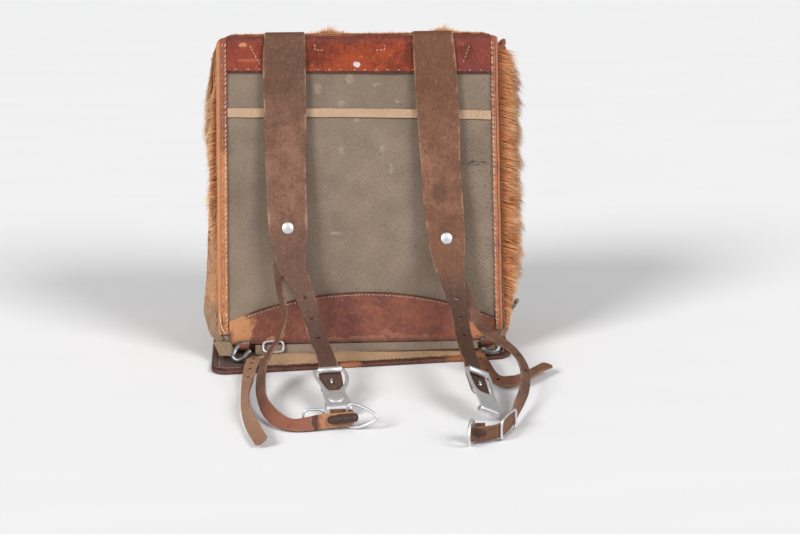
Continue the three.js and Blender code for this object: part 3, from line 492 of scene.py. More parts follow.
def punch(piece, centres, directions, radius):
    """Round holes through a piece: one cutter of short rods is taken away from it."""
    profile = [[radius, -ROD_LENGTH / 2], [radius, ROD_LENGTH / 2]]
    rods = [lathe(profile, centre, direction, ROD_SIDES) for centre, direction in zip(centres, directions)]
    cutter_shape = join(*rods)
    mesh = bpy.data.meshes.new("hole_cutter")
    faces = [tuple(face) for block in cutter_shape.faces for face in block.tolist()]
    mesh.from_pydata((cutter_shape.points * MM).tolist(), [], faces)
    cutter = linked("hole_cutter", mesh)
    cut = piece.modifiers.new("holes", "BOOLEAN")
    cut.operation = "DIFFERENCE"
    cut.solver = "EXACT"
    cut.object = cutter
    seen = bpy.context.evaluated_depsgraph_get()
    done = bpy.data.meshes.new_from_object(piece.evaluated_get(seen))
    piece.modifiers.remove(cut)
    piece.data = done
    done.set_sharp_from_angle(angle=SHARP_EDGE)
    mark_holes(done, np.asarray(centres, float), unit(np.asarray(directions, float)), radius)
    bpy.data.objects.remove(cutter)
    bpy.data.meshes.remove(mesh)


def mark_holes(mesh, centres, axes, radius):
    """Layer hole: 1 on faces within a hole's radius and length whose normals lie across it, 0 elsewhere."""
    middles, normals = np.empty((2, len(mesh.polygons) * 3), np.float32)
    mesh.polygons.foreach_get("center", middles)
    mesh.polygons.foreach_get("normal", normals)
    away = middles.reshape(-1, 1, 3) / MM - centres
    along = np.sum(away * axes, axis=-1)
    off = np.linalg.norm(away - along[..., None] * axes, axis=-1)
    upright = np.abs(normals.reshape(-1, 3) @ axes.T) < WALL_LEAN
    inside = (off < radius) & (np.abs(along) < ROD_LENGTH / 2) & upright
    set_layer(mesh, "hole", "FACE", np.any(inside, axis=1))


# Finishes


def shade(red, green, blue, light=LIGHT_LEVEL):
    """Colour as seen on a screen under that light, 0 to 255, as the linear colour that a shader takes."""
    seen = np.array([red, green, blue]) / 255
    linear = np.where(seen <= 0.04045, seen / 12.92, ((seen + 0.055) / 1.055) ** 2.4)
    return (*(linear / light).tolist(), 1.0)


class Socket:
    """One output of a node; arithmetic on it adds Math nodes."""

    def __init__(self, finish, output):
        self.finish = finish
        self.output = output

    def math(self, operation, *values):
        return self.finish.node("ShaderNodeMath", {"operation": operation}, dict(enumerate(values)))

    def __add__(self, other):
        return self.math("ADD", self, other)

    def __radd__(self, other):
        return self.math("ADD", other, self)

    def __sub__(self, other):
        return self.math("SUBTRACT", self, other)

    def __rsub__(self, other):
        return self.math("SUBTRACT", other, self)

    def __mul__(self, other):
        return self.math("MULTIPLY", self, other)

    def __rmul__(self, other):
        return self.math("MULTIPLY", other, self)

    def __abs__(self):
        return self.math("ABSOLUTE", self)

    def wave(self, pitch):
        """Sine wave that passes through 0 at every pitch."""
        return self.math("SINE", self * (math.pi / pitch))


class Finish:
    """A material in the making. node() adds any node; the rest are patterns that several finishes share."""

    def __init__(self, name, **fixed):
        self.material = bpy.data.materials.new(name)
        self.material.use_nodes = True
        self.tree = self.material.node_tree
        self.shader = self.tree.nodes["Principled BSDF"]
        for label, value in fixed.items():
            self.shader.inputs[label.replace("_", " ")].default_value = value

    def node(self, kind, settings, inputs, out=0):
        """Any node: its settings first, then the values or links of its sockets."""
        made = self.tree.nodes.new(kind)
        for label, value in settings.items():
            setattr(made, label, value)
        for key, value in inputs.items():
            if isinstance(value, Socket):
                self.tree.links.new(value.output, made.inputs[key])
            else:
                made.inputs[key].default_value = value
        return Socket(self, made.outputs[out])

    def link(self, socket, label):
        self.tree.links.new(socket.output, self.shader.inputs[label])

    def vector(self, operation, *values, out=0, **named):
        """Arithmetic on vectors."""
        inputs = {**dict(enumerate(values)), **named}
        return self.node("ShaderNodeVectorMath", {"operation": operation}, inputs, out)

    def place(self):
        """Where the point lies on the object, in mm."""
        return self.vector("SCALE", self.node("ShaderNodeTexCoord", {}, {}, "Object"), Scale=1 / MM)

    def lay(self):
        """Where the point lies on the flat piece, in mm: across and along."""
        return self.node("ShaderNodeUVMap", {"uv_map": "lay"}, {})

    def value(self, name):
        """One of the mesh's own layers."""
        return self.node("ShaderNodeAttribute", {"attribute_name": name}, {}, "Fac")

    def parts(self, vector):
        return [self.node("ShaderNodeSeparateXYZ", {}, {0: vector}, k) for k in range(3)]

    def stretch(self, vector, factors):
        return self.vector("MULTIPLY", vector, factors)

    def noise(self, vector, size, detail=3.0, rough=0.55):
        """Soft random values from 0 to 1 with blots of about that size in mm."""
        inputs = {"Vector": vector, "Scale": 1 / size, "Detail": detail, "Roughness": rough}
        return self.node("ShaderNodeTexNoise", {}, inputs)

    def cells(self, vector, size, feature="F1"):
        """Distance to the nearest of scattered points, or to the border between them."""
        inputs = {"Vector": vector, "Scale": 1 / size}
        return self.node("ShaderNodeTexVoronoi", {"feature": feature}, inputs)

    def ramp(self, value, low, high):
        """0 to 1 on a smooth step between two values."""
        inputs = {"Value": value, "From Min": low, "From Max": high}
        return self.node("ShaderNodeMapRange", {"interpolation_type": "SMOOTHSTEP"}, inputs)

    def blend(self, factor, first, second):
        """Mix of two colours; three bare numbers are a colour as seen on a screen, 0 to 255."""
        tints = {6: first, 7: second}
        for key, tint in tints.items():
            if isinstance(tint, tuple) and len(tint) == 3:
                tints[key] = shade(*tint)
        return self.node("ShaderNodeMix", {"data_type": "RGBA"}, {0: factor, **tints}, 2)

    def spot(self, vector, centre, reach, soft=0.5):
        """1 inside an oval patch on the flat piece, 0 outside."""
        away = self.vector("SUBTRACT", vector, (*centre, 0))
        scaled = self.stretch(away, (1 / reach[0], 1 / reach[1], 0))
        far = self.vector("LENGTH", scaled, out="Value")
        return self.ramp(far, 1 + soft / 2, 1 - soft / 2)

    def uneven(self, vector, size, amount):
        """The same place pushed about by noise, so that the edges of patches are ragged."""
        inputs = {"Vector": vector, "Scale": 1 / size, "Detail": 3.0}
        push = self.node("ShaderNodeTexNoise", {}, inputs, 1)
        middle = self.vector("SUBTRACT", push, (0.5, 0.5, 0.5))
        return self.vector("ADD", vector, self.vector("SCALE", middle, Scale=amount))

    def weave(self, lay, pitch):
        """Plain weave: crossed threads that pass over and under each other in turn."""
        across, along, _ = self.parts(lay)
        warp = across.wave(pitch)
        weft = along.wave(pitch)
        return abs(warp) * abs(weft) * 0.6 + warp * weft * 0.4

    def bump(self, height, depth, strength=1.0):
        """Relief of that depth in mm, on the shader's normal."""
        inputs = {"Height": height, "Distance": depth * MM, "Strength": strength}
        self.link(self.node("ShaderNodeBump", {}, inputs), "Normal")


# Places on the panel of its rubbed spots, and their reach: across, height, half width, half height
RUB_SPOTS = [
    (-11.6, 310, 4.5, 5.5),
    (-48.8, 299, 4.5, 6.0),
    (-21.2, 282, 4.0, 3.6),
    (-22, 227, 3.0, 5.0),
    (26, 229, 3.0, 4.0),
    (20, 303, 5.0, 1.6),
    (44, 283, 2.6, 1.8),
    (-4, 262, 3.0, 1.8),
    (36, 205, 2.6, 6.0),
    (-30, 130, 8.0, 2.4),
]
DARK_STAIN = (134, 210, 15, 2.6)
CANVAS_PITCH = 1.15


def canvas_cloth(name, pale, dark, rubbed=False, pitch=CANVAS_PITCH):
    """Drill cloth: woven threads, slubs, faded blots and small dark specks; the panel's is rubbed too."""
    made = Finish(name, Roughness=0.92, Specular_IOR_Level=0.12, Sheen_Weight=0.08)
    lay = made.lay()
    weave = made.weave(lay, pitch)
    slub = made.noise(made.stretch(lay, (0.2, 1, 1)), 0.8)
    slub_up = made.noise(made.stretch(lay, (1, 0.2, 1)), 0.8)
    blots = made.noise(lay, 42, 4.0)
    fade = made.noise(lay, 130, 2.0)
    threads = slub * 0.5 + slub_up * 0.5
    tone = made.ramp(blots * 0.3 + threads * 0.6 + fade * 0.25, 0.36, 0.82)
    colour = made.blend(tone, dark, pale)
    crowd = made.ramp(made.parts(lay)[0], -60, 150) * 0.07
    specks = made.ramp(made.noise(lay, 2.6, 1.0) + crowd, 0.70, 0.76)
    colour = made.blend(specks * 0.6, colour, (62, 54, 48))
    if rubbed:
        ragged = made.uneven(lay, 4, 4.5)
        colour = made.blend(made.ramp(made.parts(lay)[1], 210, 330) * 0.25, colour, dark)
        for x, height, wide, tall in RUB_SPOTS:
            rub = made.spot(ragged, (x, height), (wide, tall), 0.9) * made.ramp(threads, 0.3, 0.7)
            colour = made.blend(rub * 0.45, colour, (200, 188, 172))
        stain = made.spot(made.uneven(lay, 3.4, 5.0), DARK_STAIN[:2], DARK_STAIN[2:], 0.7)
        soaked = stain * made.ramp(made.noise(made.stretch(lay, (0.35, 1, 1)), 2.6), 0.38, 0.6)
        colour = made.blend(soaked * 0.8, colour, (48, 50, 58))
    colour = made.blend(made.ramp(weave, 0.05, 0.7) * 0.22, colour, pale)
    made.link(colour, "Base Color")
    made.bump(weave + threads * 0.5, 0.22, 0.8)
    return made.material


# What a leather is like where its own look says nothing else
LEATHER_LOOK = dict(
    rough=0.5, shine=0.4, grain=1.1, blot=22, even=0.0, flecks=0.22, scuffed=0.05, streaked=0.3, cracked=0.0,
    crack_size=7, edge=0.6, edge_from=0.86, zones=(), spots=(), spot_ragged=5.0,
)
LEATHER_RELIEF = 0.16
COAT_ROUGH = 0.35
# Painted shade inside punched holes: the colour given to their walls
HOLE_SHADE = (44, 34, 29)


def leather(name, base, dark, worn, **look):
    """Grain leather: pebbled grain, darker blots, pale flecks, scratches, cracks and worn edges.

    look: rough, shine, coat, sizes of grain and blots, even (how little it is mottled), flecks, scuffed,
    cracked, streaked with soil, edge (how far edges are worn), zones (stretches across or along the piece in
    another tint), spots (ovals in another tint) and the colours of a back.
    """
    look = {**LEATHER_LOOK, "soil": dark, "edge_tint": worn, **look}
    made = Finish(name, Specular_IOR_Level=look["shine"], Coat_Roughness=COAT_ROUGH)
    place = made.place()
    lay = made.lay()
    grain = made.cells(place, look["grain"], "DISTANCE_TO_EDGE")
    fine = made.noise(place, 0.8, 4.0, 0.65)
    blots = made.noise(place, look["blot"], 4.0, 0.6)
    cloud = made.noise(place, 70, 2.0)
    small = made.noise(place, 4.5, 4.0, 0.65)
    mottle = blots * 0.45 + cloud * 0.25 + small * 0.25 + fine * 0.25
    colour = made.blend(made.ramp(mottle, 0.40 - look["even"], 0.80 + look["even"]), dark, base)
    for axis, first, last, tint, share, ragged in look["zones"]:
        along = made.parts(made.uneven(lay, 9, ragged))[axis]
        colour = made.blend(made.ramp(along, first, last) * share, colour, tint)
    ragged = look["spot_ragged"]
    torn = made.uneven(made.uneven(lay, 18, ragged * 1.6), 4, ragged * 0.8)
    for centre, reach, tint, share in look["spots"]:
        colour = made.blend(made.spot(torn, centre, reach, 0.4) * share, colour, tint)
    pores = made.ramp(made.noise(place, 1.3, 3.0, 0.7), 0.46, 0.34)
    colour = made.blend(pores * 0.35, colour, dark)
    flecks = made.ramp(made.noise(place, 1.0, 2.0, 0.6), 0.58, 0.70)
    colour = made.blend(flecks * look["flecks"], colour, worn)
    rough_place = made.uneven(place, 9, 5.0)
    scratch = made.noise(made.stretch(rough_place, (0.22, 1, 0.9)), 3.2, 4.0, 0.7)
    streaks = made.noise(made.stretch(rough_place, (1, 0.9, 0.25)), 2.4, 4.0, 0.7)
    colour = made.blend(made.ramp(streaks, 0.46, 0.30) * look["streaked"], colour, look["soil"])
    scuffs = made.ramp(scratch, 0.70 - look["scuffed"], 0.80)
    colour = made.blend(scuffs * 0.55, colour, worn)
    cracks = made.ramp(made.cells(rough_place, look["crack_size"], "DISTANCE_TO_EDGE"), 0.05, 0.0)
    colour = made.blend(cracks * made.ramp(small, 0.48, 0.62) * look["cracked"], colour, worn)
    edge = made.ramp(made.value("rim") + (blots - 0.5) * 0.5 + (fine - 0.5) * 0.4, look["edge_from"], 1.02)
    if "edge_after" in look:
        edge = edge * made.ramp(made.parts(lay)[1], look["edge_after"], look["edge_after"] + 6)
    colour = made.blend(edge * look["edge"], colour, look["edge_tint"])
    if "back" in look:
        fuzz = made.noise(place, 1.6, 4.0, 0.7)
        back = made.blend(made.ramp(fuzz * 0.6 + blots * 0.4, 0.35, 0.7), look["back_dark"], look["back"])
        colour = made.blend(made.ramp(made.value("side"), 0.2, -0.2), colour, back)
        # The walls of punched holes get painted shade
        colour = made.blend(made.value("hole"), colour, HOLE_SHADE)
    made.link(colour, "Base Color")
    made.link(look["rough"] + (blots - 0.5) * 0.25 + scuffs * 0.2, "Roughness")
    if "coat" in look:
        made.link(look["coat"] * (1 - scuffs * 0.6), "Coat Weight")
    made.bump(made.ramp(grain, 0.0, 0.35) * 0.5 + fine * 0.5 + scuffs * 0.2, LEATHER_RELIEF, 0.8)
    return made.material


def fur_coat(name, root, middle, tip):
    """Hair: dark at the root and pale at the tip, with a tone of its own on each hair."""
    made = Finish(name, Roughness=0.5, Specular_IOR_Level=0.2, Sheen_Weight=0.05)
    along = made.value("along")
    tone = made.value("tone")
    lower = made.blend(made.ramp(along + tone * 0.4 - 0.2, 0.0, 0.5), root, middle)
    colour = made.blend(made.ramp(along + tone * 0.7 - 0.35, 0.45, 1.0), lower, tip)
    made.link(colour, "Base Color")
    made.link(0.42 + tone * 0.2, "Roughness")
    return made.material


def undercoat(name, dark, pale):
    """The short dense wool under the long hair: streaks that run down the flap."""
    made = Finish(name, Roughness=0.85, Sheen_Weight=0.3)
    place = made.place()
    streak = made.noise(made.stretch(place, (1, 1, 0.12)), 1.6, 4.0, 0.7)
    clump = made.noise(made.stretch(place, (1, 1, 0.4)), 14, 3.0)
    tone = made.ramp(streak * 0.6 + clump * 0.5, 0.35, 0.75)
    made.link(made.blend(tone, dark, pale), "Base Color")
    made.bump(streak + clump * 0.5, 0.9)
    return made.material


def bare_hide(name, pale, dark, canvas_below=0):
    """Worn hide: suede nap with soft blots and short streaks; its foot may be canvas."""
    made = Finish(name, Roughness=0.9, Sheen_Weight=0.2)
    place = made.place()
    lay = made.lay()
    nap = made.noise(place, 1.3, 4.0, 0.7)
    streak = made.noise(made.stretch(made.uneven(lay, 20, 12.0), (0.2, 0.8, 1)), 2.2, 4.0, 0.7)
    blots = made.noise(place, 28, 3.0)
    colour = made.blend(made.ramp(nap * 0.3 + streak * 0.35 + blots * 0.5, 0.38, 0.78), dark, pale)
    if canvas_below:
        foot = made.ramp(made.parts(made.uneven(lay, 16, 14.0))[0], canvas_below + 10, canvas_below - 10)
        threads = made.ramp(made.weave(lay, CANVAS_PITCH), 0.0, 0.8)
        colour = made.blend(foot, colour, made.blend(threads, (142, 112, 84), (184, 152, 118)))
    made.link(colour, "Base Color")
    made.bump(nap + streak * 0.5, 0.3)
    return made.material


def steel_plate(name, bright, dull, rough=0.3, metal=1.0):
    """Plated steel: bright metal with dull blots, fine scratches and grey specks."""
    made = Finish(name, Metallic=metal)
    place = made.place()
    blots = made.noise(place, 9, 4.0, 0.6)
    fine = made.noise(made.stretch(place, (1, 0.25, 1)), 0.9, 3.0, 0.7)
    specks = made.ramp(made.noise(place, 1.8, 2.0), 0.66, 0.74)
    worn = made.ramp(blots * 0.75 + fine * 0.3, 0.42, 0.72)
    colour = made.blend(worn, dull, bright)
    made.link(made.blend(specks * 0.45, colour, dull), "Base Color")
    made.link(rough + (1 - worn) * 0.18 + specks * 0.15, "Roughness")
    made.bump(fine * 0.4 + blots * 0.6, 0.08, 0.5)
    return made.material


def sewing_thread(name, pale, dark):
    """Waxed thread: short twisted strands, soiled in places."""
    made = Finish(name, Roughness=0.7, Specular_IOR_Level=0.3)
    place = made.place()
    soil = made.noise(place, 9, 3.0)
    twist = made.noise(place, 0.5, 2.0)
    made.link(made.blend(made.ramp(soil * 0.7 + twist * 0.4, 0.35, 0.72), dark, pale), "Base Color")
    made.bump(twist, 0.15)
    return made.material


CANVAS_PANEL = canvas_cloth("panel_canvas", (164, 145, 128), (114, 98, 84), rubbed=True)
CANVAS_WALL = canvas_cloth("wall_canvas", (178, 152, 124), (128, 106, 84))
LINING = canvas_cloth("flap_lining", (198, 162, 126), (150, 118, 90), pitch=1.0)
TAPE_CLOTH = canvas_cloth("woven_tape", (216, 182, 154), (178, 146, 118), pitch=0.8)
BAND_LEATHER = leather(
    "band_leather", (166, 70, 32), (112, 46, 34), (206, 130, 92),
    rough=0.46, coat=0.1, scuffed=0.07, edge=0.15, shine=0.22, flecks=0.15, even=-0.1, cracked=0.4,
    crack_size=6, soil=(84, 36, 28), streaked=0.65, spot_ragged=3.0,
    zones=[
        (0, 60, 130, (126, 60, 56), 0.75, 30.0),
        (0, -90, -140, (136, 64, 54), 0.6, 30.0),
        # Dark strip along the lower edge: the leather's dark edge, partly painted shade of the gap beneath
        # the band.
        (1, 2.2, 1.2, (58, 36, 44), 0.95, 0.4),
        (1, 32, 40, (96, 52, 48), 0.6, 4.0),
    ],
    spots=[
        ((-3.3, 9.4), (4.0, 3.2), (232, 228, 232), 0.85),
        ((-134, 33), (5.0, 3.0), (226, 160, 116), 0.7),
        ((-128, 14), (13, 2.0), (196, 112, 84), 0.5),
        # The three dark ovals beside the straps are painted strap shadows.
        ((58, 20), (6, 16), (84, 38, 30), 0.6),
        ((124, 24), (8, 9), (82, 42, 38), 0.5),
        ((-46, 24), (8, 14), (112, 48, 30), 0.5),
    ],
)
PATCH_LEATHER = leather(
    "patch_leather", (150, 86, 66), (104, 58, 50), (206, 146, 104),
    scuffed=0.08, edge=0.85, edge_from=0.2, edge_after=9, edge_tint=(92, 55, 45), spot_ragged=15.0,
    even=-0.06, flecks=0.12, cracked=0.2, crack_size=13, soil=(82, 46, 44), streaked=0.45,
    zones=[(1, 1.5, 0.8, (58, 38, 36), 0.9, 0.4)],
    spots=[
        ((-150, 18), (22, 24), (214, 152, 104), 0.85),
        ((-118, 42), (26, 6), (200, 138, 96), 0.8),
        ((146, 26), (26, 10), (198, 132, 92), 0.85),
        ((70, 50), (50, 4), (176, 118, 92), 0.5),
        ((-10, 58), (70, 3.4), (186, 128, 98), 0.5),
    ],
)
BINDING_LOOK = dict(scuffed=0.06, blot=7, edge=0.0, even=-0.06, shine=0.2, streaked=0.4)
LEFT_BINDING_LEATHER = leather(
    "left_binding_leather", (212, 148, 100), (176, 108, 72), (230, 174, 128),
    rough=0.6, soil=(140, 84, 58), **BINDING_LOOK,
    zones=[(1, 222, 234, (138, 76, 62), 0.85, 9.0), (0, 6.6, 7.4, (202, 142, 100), 0.8, 0.8)],
)
RIGHT_BINDING_LEATHER = leather(
    "right_binding_leather", (204, 136, 90), (172, 104, 74), (226, 166, 122),
    rough=0.55, soil=(136, 80, 60), **BINDING_LOOK,
    zones=[(1, 232, 262, (142, 82, 74), 0.85, 9.0), (0, 4.8, 5.4, (190, 122, 88), 0.8, 0.8)],
    spots=[((4, 112), (6, 12), (160, 96, 88), 0.8), ((4, 205), (6, 10), (150, 88, 76), 0.6)],
)
TONGUE_LEATHER = leather(
    "tongue_leather", (102, 66, 57), (68, 44, 40), (146, 92, 70),
    scuffed=0.1, blot=9, edge=0.25, edge_from=0.72, shine=0.22, even=-0.05, spot_ragged=9.0,
    spots=[((2, 284), (7, 13), (196, 132, 88), 0.8), ((4, 420), (9, 22), (190, 122, 80), 0.7)],
)
CORNER_LEATHER = leather(
    "tongue_corner_leather", (110, 90, 82), (80, 64, 58), (150, 116, 98),
    rough=0.55, scuffed=0.04,
)
STRAP_BACK = {"back": (150, 112, 88), "back_dark": (104, 76, 60)}
STRAP_LOOK = dict(
    rough=0.58, scuffed=0.03, grain=0.9, cracked=0.3, crack_size=5, edge_from=0.94, shine=0.18, even=-0.08,
    flecks=0.3, streaked=0.55, soil=(74, 50, 41), **STRAP_BACK,
)
SHOULDER_LEATHER = {
    "left": leather(
        "left_shoulder_leather", (143, 104, 86), (106, 75, 61), (188, 148, 122), **STRAP_LOOK,
        zones=[
            (1, 180, 70, (98, 67, 52), 0.75, 12.0),
            (1, 235, 290, (100, 73, 60), 0.7, 12.0),
            (1, 320, 380, (86, 63, 55), 0.85, 12.0),
        ],
        spots=[((-14, 245), (5, 40), (112, 80, 66), 0.35)],
    ),
    "right": leather(
        "right_shoulder_leather", (149, 104, 82), (112, 76, 58), (188, 148, 122), **STRAP_LOOK,
        zones=[
            (1, 180, 70, (104, 66, 48), 0.75, 12.0),
            (1, 245, 305, (110, 74, 54), 0.7, 12.0),
            (1, 300, 345, (74, 53, 46), 0.9, 12.0),
        ],
        spots=[((4, 218), (9, 13), (88, 62, 52), 0.4), ((2, 268), (8, 8), (96, 66, 54), 0.3)],
    ),
}
AUX_LEATHER = {
    "left": leather(
        "left_aux_leather", (126, 90, 74), (94, 66, 56), (184, 144, 118), **STRAP_LOOK,
        zones=[
            (1, 250, 330, (158, 98, 78), 0.8, 14.0),
            (1, 383, 386, (198, 144, 102), 0.75, 3.0),
        ],
        spots=[((0, 380), (12, 3.2), (66, 46, 38), 0.85)],
    ),
    "right": leather(
        "right_aux_leather", (126, 90, 73), (94, 66, 54), (184, 144, 118), **STRAP_LOOK,
        zones=[(1, 280, 340, (146, 102, 76), 0.7, 14.0), (1, 392, 402, (110, 76, 60), 0.85, 8.0)],
        spots=[((1, 418), (5, 9), (58, 40, 34), 0.8)],
    ),
}
BILLET_LEATHER = {
    "left": leather(
        "left_billet_leather", (184, 142, 116), (152, 112, 88), (212, 174, 142),
        rough=0.75, scuffed=0.04, edge=0.4, edge_from=0.9, shine=0.2, even=0.02, streaked=0.5, cracked=0.3,
        crack_size=5, soil=(124, 86, 64), **STRAP_BACK,
        zones=[(1, 210, 300, (146, 104, 82), 0.6, 14.0)],
    ),
    "right": leather(
        "right_billet_leather", (146, 102, 80), (112, 78, 62), (196, 146, 114), **STRAP_LOOK,
        zones=[(1, 60, 20, (188, 124, 86), 0.6, 10.0)],
    ),
}
TAB_LEATHER = leather(
    "tab_leather", (150, 88, 68), (104, 60, 50), (206, 142, 108), scuffed=0.06,
)
DARK_ROLL_LEATHER = leather(
    "dark_roll_leather", (84, 60, 50), (54, 38, 34), (136, 98, 76), scuffed=0.06, shine=0.3,
)
CORNER_TAB_LEATHER = leather(
    "corner_tab_leather", (176, 108, 72), (96, 56, 42), (214, 150, 106),
    rough=0.55, scuffed=0.06, blot=7, even=-0.08,
)
HIDE_SUEDE = bare_hide("hide_suede", (196, 150, 110), (150, 108, 76))
LEFT_WALL_HIDE = bare_hide("left_wall_hide", (212, 152, 102), (158, 108, 70), canvas_below=44)
RIGHT_WALL_HIDE = bare_hide("right_wall_hide", (204, 134, 84), (156, 96, 58), canvas_below=24)
FUR_UNDER = undercoat("fur_undercoat", (150, 86, 46), (206, 130, 76))
FUR_HAIR = fur_coat("fur_hair", (156, 88, 48), (222, 146, 90), (250, 216, 172))
ZINC = steel_plate("zinc_steel", (0.86, 0.855, 0.86, 1), (0.66, 0.655, 0.67, 1), 0.3, 0.85)
DARK_STEEL = steel_plate("dark_steel", (0.42, 0.42, 0.43, 1), (0.16, 0.16, 0.17, 1), 0.32)
BRASS = steel_plate("brass_wire", (0.72, 0.55, 0.32, 1), (0.36, 0.26, 0.15, 1), 0.35)
THREAD = sewing_thread("waxed_thread", (232, 208, 176), (178, 144, 112))
WHIP_THREAD = sewing_thread("whip_thread", (240, 214, 190), (176, 126, 100))
DULL_THREAD = sewing_thread("dull_thread", (214, 158, 128), (136, 82, 66))


# Panel, walls and tape of the bag


def panel_sheet():
    """The wearer's side: a flat sheet with round corners; it sinks a little between its sewn edges."""
    rise = np.linspace(0, 1, 110)[:, None]
    height = mix(PANEL_INSET, PANEL_HEIGHT - PANEL_INSET, rise)
    foot = np.clip(FOOT_CORNER + PANEL_INSET - height, 0, FOOT_CORNER)
    top = np.clip(height - (PANEL_HEIGHT - PANEL_INSET - TOP_CORNER), 0, TOP_CORNER)
    inset = FOOT_CORNER - np.sqrt(FOOT_CORNER**2 - foot**2) + TOP_CORNER - np.sqrt(TOP_CORNER**2 - top**2)
    x = np.linspace(-1, 1, 111)[None, :] * (panel_half(height) - PANEL_INSET - inset)
    height = height + 0 * x
    soft = ease(np.minimum(panel_half(height) - np.abs(x), height), 10, 60)
    sink = -0.5 - 0.5 * ripples(x, height, 120, 3) - 0.25 * ripples(x, height, 34, 4)
    grid = on_panel(x, height, np.minimum(sink * soft, -0.02))
    return wall(grid, -CANVAS, stacked(x, height), 0.2)


WALL_SEED = 20
# Height share up the bag, the open rim's y, and how far the left and the right side swell
WALL_SHAPE = np.array([
    [0.0, 64, 6, 6],
    [0.12, 76, 20, 12],
    [0.35, 84, 11, 9],
    [0.65, 83, 4, 6],
    [0.9, 77, 3, 4],
    [1.0, 70, 1.5, 2],
])
FRONT_FOOT_Z = END_SHEET + SEAM_GAP
FRONT_TOP_Z = 352
FRONT_NARROWING = 0.965
FOOT_DROP_DEPTH = 0.22
TOP_CROWN = 3
BULGE_SKEW = 0.7
CORNER_GAP = math.radians(1)


def corner_arc(side, top, first, last, count=14):
    """Stations round a corner of the panel's outline: across, height, and the way out of the bag."""
    angle = np.linspace(first, last, count)
    radius = TOP_CORNER if top else FOOT_CORNER
    half = PANEL_HALF_TOP if top else PANEL_HALF_FOOT
    middle = PANEL_HEIGHT - TOP_CORNER if top else FOOT_CORNER
    out_x, out_h = np.cos(angle), np.sin(angle)
    return stacked(side * (half - radius) + radius * out_x, middle + radius * out_h, out_x, out_h)


def straight_run(start, end, count):
    """Stations on a straight stretch between two others, ends left out."""
    return mix(start, end, np.linspace(0, 1, count)[1:-1, None])


def boxing_grid(stations, seed):
    """Wall from the panel's edge to the open rim: it swells outwards, and drops early at the foot."""
    x, height, out_x, out_h = stations.T[:, :, None]
    depth = np.linspace(0, 1, 40)[None, :]
    up = height / PANEL_HEIGHT
    back = on_panel(x, height, -CANVAS - SEAM_GAP)
    front_y = np.interp(up, WALL_SHAPE[:, 0], WALL_SHAPE[:, 1])
    front_z = mix(FRONT_FOOT_Z, FRONT_TOP_Z, up)
    swell = np.sin(math.pi * depth**BULGE_SKEW)
    left = np.interp(up, WALL_SHAPE[:, 0], WALL_SHAPE[:, 2])
    right = np.interp(up, WALL_SHAPE[:, 0], WALL_SHAPE[:, 3])
    bulge = np.where(x < 0, left, right) * np.abs(out_x)
    crown = TOP_CROWN * np.maximum(out_h, 0)
    drop = np.maximum(0, 1 - depth / FOOT_DROP_DEPTH) ** 2
    still_back = mix(drop, 1 - depth, ease(up, 0, 0.4))
    folds = ripples(depth * 120, height + x, 46, seed) * swell * 1.1
    return stacked(
        mix(back[..., 0], x * FRONT_NARROWING, depth) + out_x * (bulge * swell + folds),
        mix(back[..., 1], front_y, depth),
        mix(front_z, back[..., 2], still_back) + crown * swell,
    )


def boxing_wall(stations, seed):
    """The wall as a closed sheet, its flat place measured along the seam and away from it."""
    grid = boxing_grid(stations, seed)
    along = run_length(stations[:, :2])[:, None]
    reach = np.linalg.norm(grid[:, -1] - grid[:, 0], axis=-1)[:, None]
    depth = np.linspace(0, 1, grid.shape[1])[None, :]
    inward = 1 if np.sum(stations[:, 2]) < -1 or np.sum(stations[:, 3]) > 1 else -1
    return wall(grid, CANVAS * inward, stacked(along, depth * reach), 0.2)


def side_stations(side):
    """Stations up one side, from the middle of the foot corner to the middle of the top corner."""
    base = math.pi if side < 0 else 0
    foot = corner_arc(side, False, base - side * (math.pi / 4 - CORNER_GAP), base)
    top = corner_arc(side, True, base, base + side * (math.pi / 4 - 2 * CORNER_GAP), 8)
    return np.vstack([foot, straight_run(foot[-1], top[0], 60), top])


def level_stations(top):
    """Stations along the top or the bottom, from corner to corner."""
    gap = CORNER_GAP * (2 if top else 1)
    quarter = math.pi / 4 - gap
    turn = math.pi / 2 if top else -math.pi / 2
    lean = 1 if top else -1
    first = corner_arc(-1, top, turn + lean * quarter, turn)
    last = corner_arc(1, top, turn, turn - lean * quarter)
    return np.vstack([first, straight_run(first[-1], last[0], 60), last])


def cloth_pieces():
    """The panel, the four walls and the woven tape."""
    panel = put("panel_canvas_sheet", panel_sheet(), CANVAS_PANEL, ["back_panel"])
    walls = [
        ("left_side_wall", side_stations(-1), LEFT_WALL_HIDE, "side_gusset_left", (0.125, 0.365), 0.0408),
        ("right_side_wall", side_stations(1), RIGHT_WALL_HIDE, "side_gusset_right", (0.125, 0.365), 0.0403),
        ("base_wall", level_stations(False), CANVAS_WALL, "bottom_gusset", (0.340, 0.130), 0.0424),
        ("top_wall", level_stations(True), CANVAS_WALL, "top_gusset", (0.330, 0.080), 0.0246),
    ]
    for seed, (name, stations, finish, node, flat, area) in enumerate(walls):
        piece = put(name, boxing_wall(stations, WALL_SEED + seed), finish, [node])
    share = np.linspace(0, 1, 120)[None, :]
    half = panel_half(TAPE_HEIGHT) - BINDING_WIDTH - 2 * SEAM_GAP
    x = mix(-half, half, share)
    middle = TAPE_HEIGHT - TAPE_FALL * share + 1.2 * (1 - (2 * share - 1) ** 2) + 0.25 * ripples(x, 0, 40, 8)
    width = TAPE_WIDTH + 0.5 * ripples(x, 9, 30, 9)
    height = middle + width * np.linspace(-0.5, 0.5, 7)[:, None]
    grid = on_panel(x, height, SEAM_GAP + TAPE + 0.12 * ripples(x, height, 22, 10))
    shape = wall(grid, -TAPE, stacked(x, height - middle), 0.15)
    tape = put("woven_stripe", shape, TAPE_CLOTH, ["stripe_tape"])


# Leather on the wearer's side


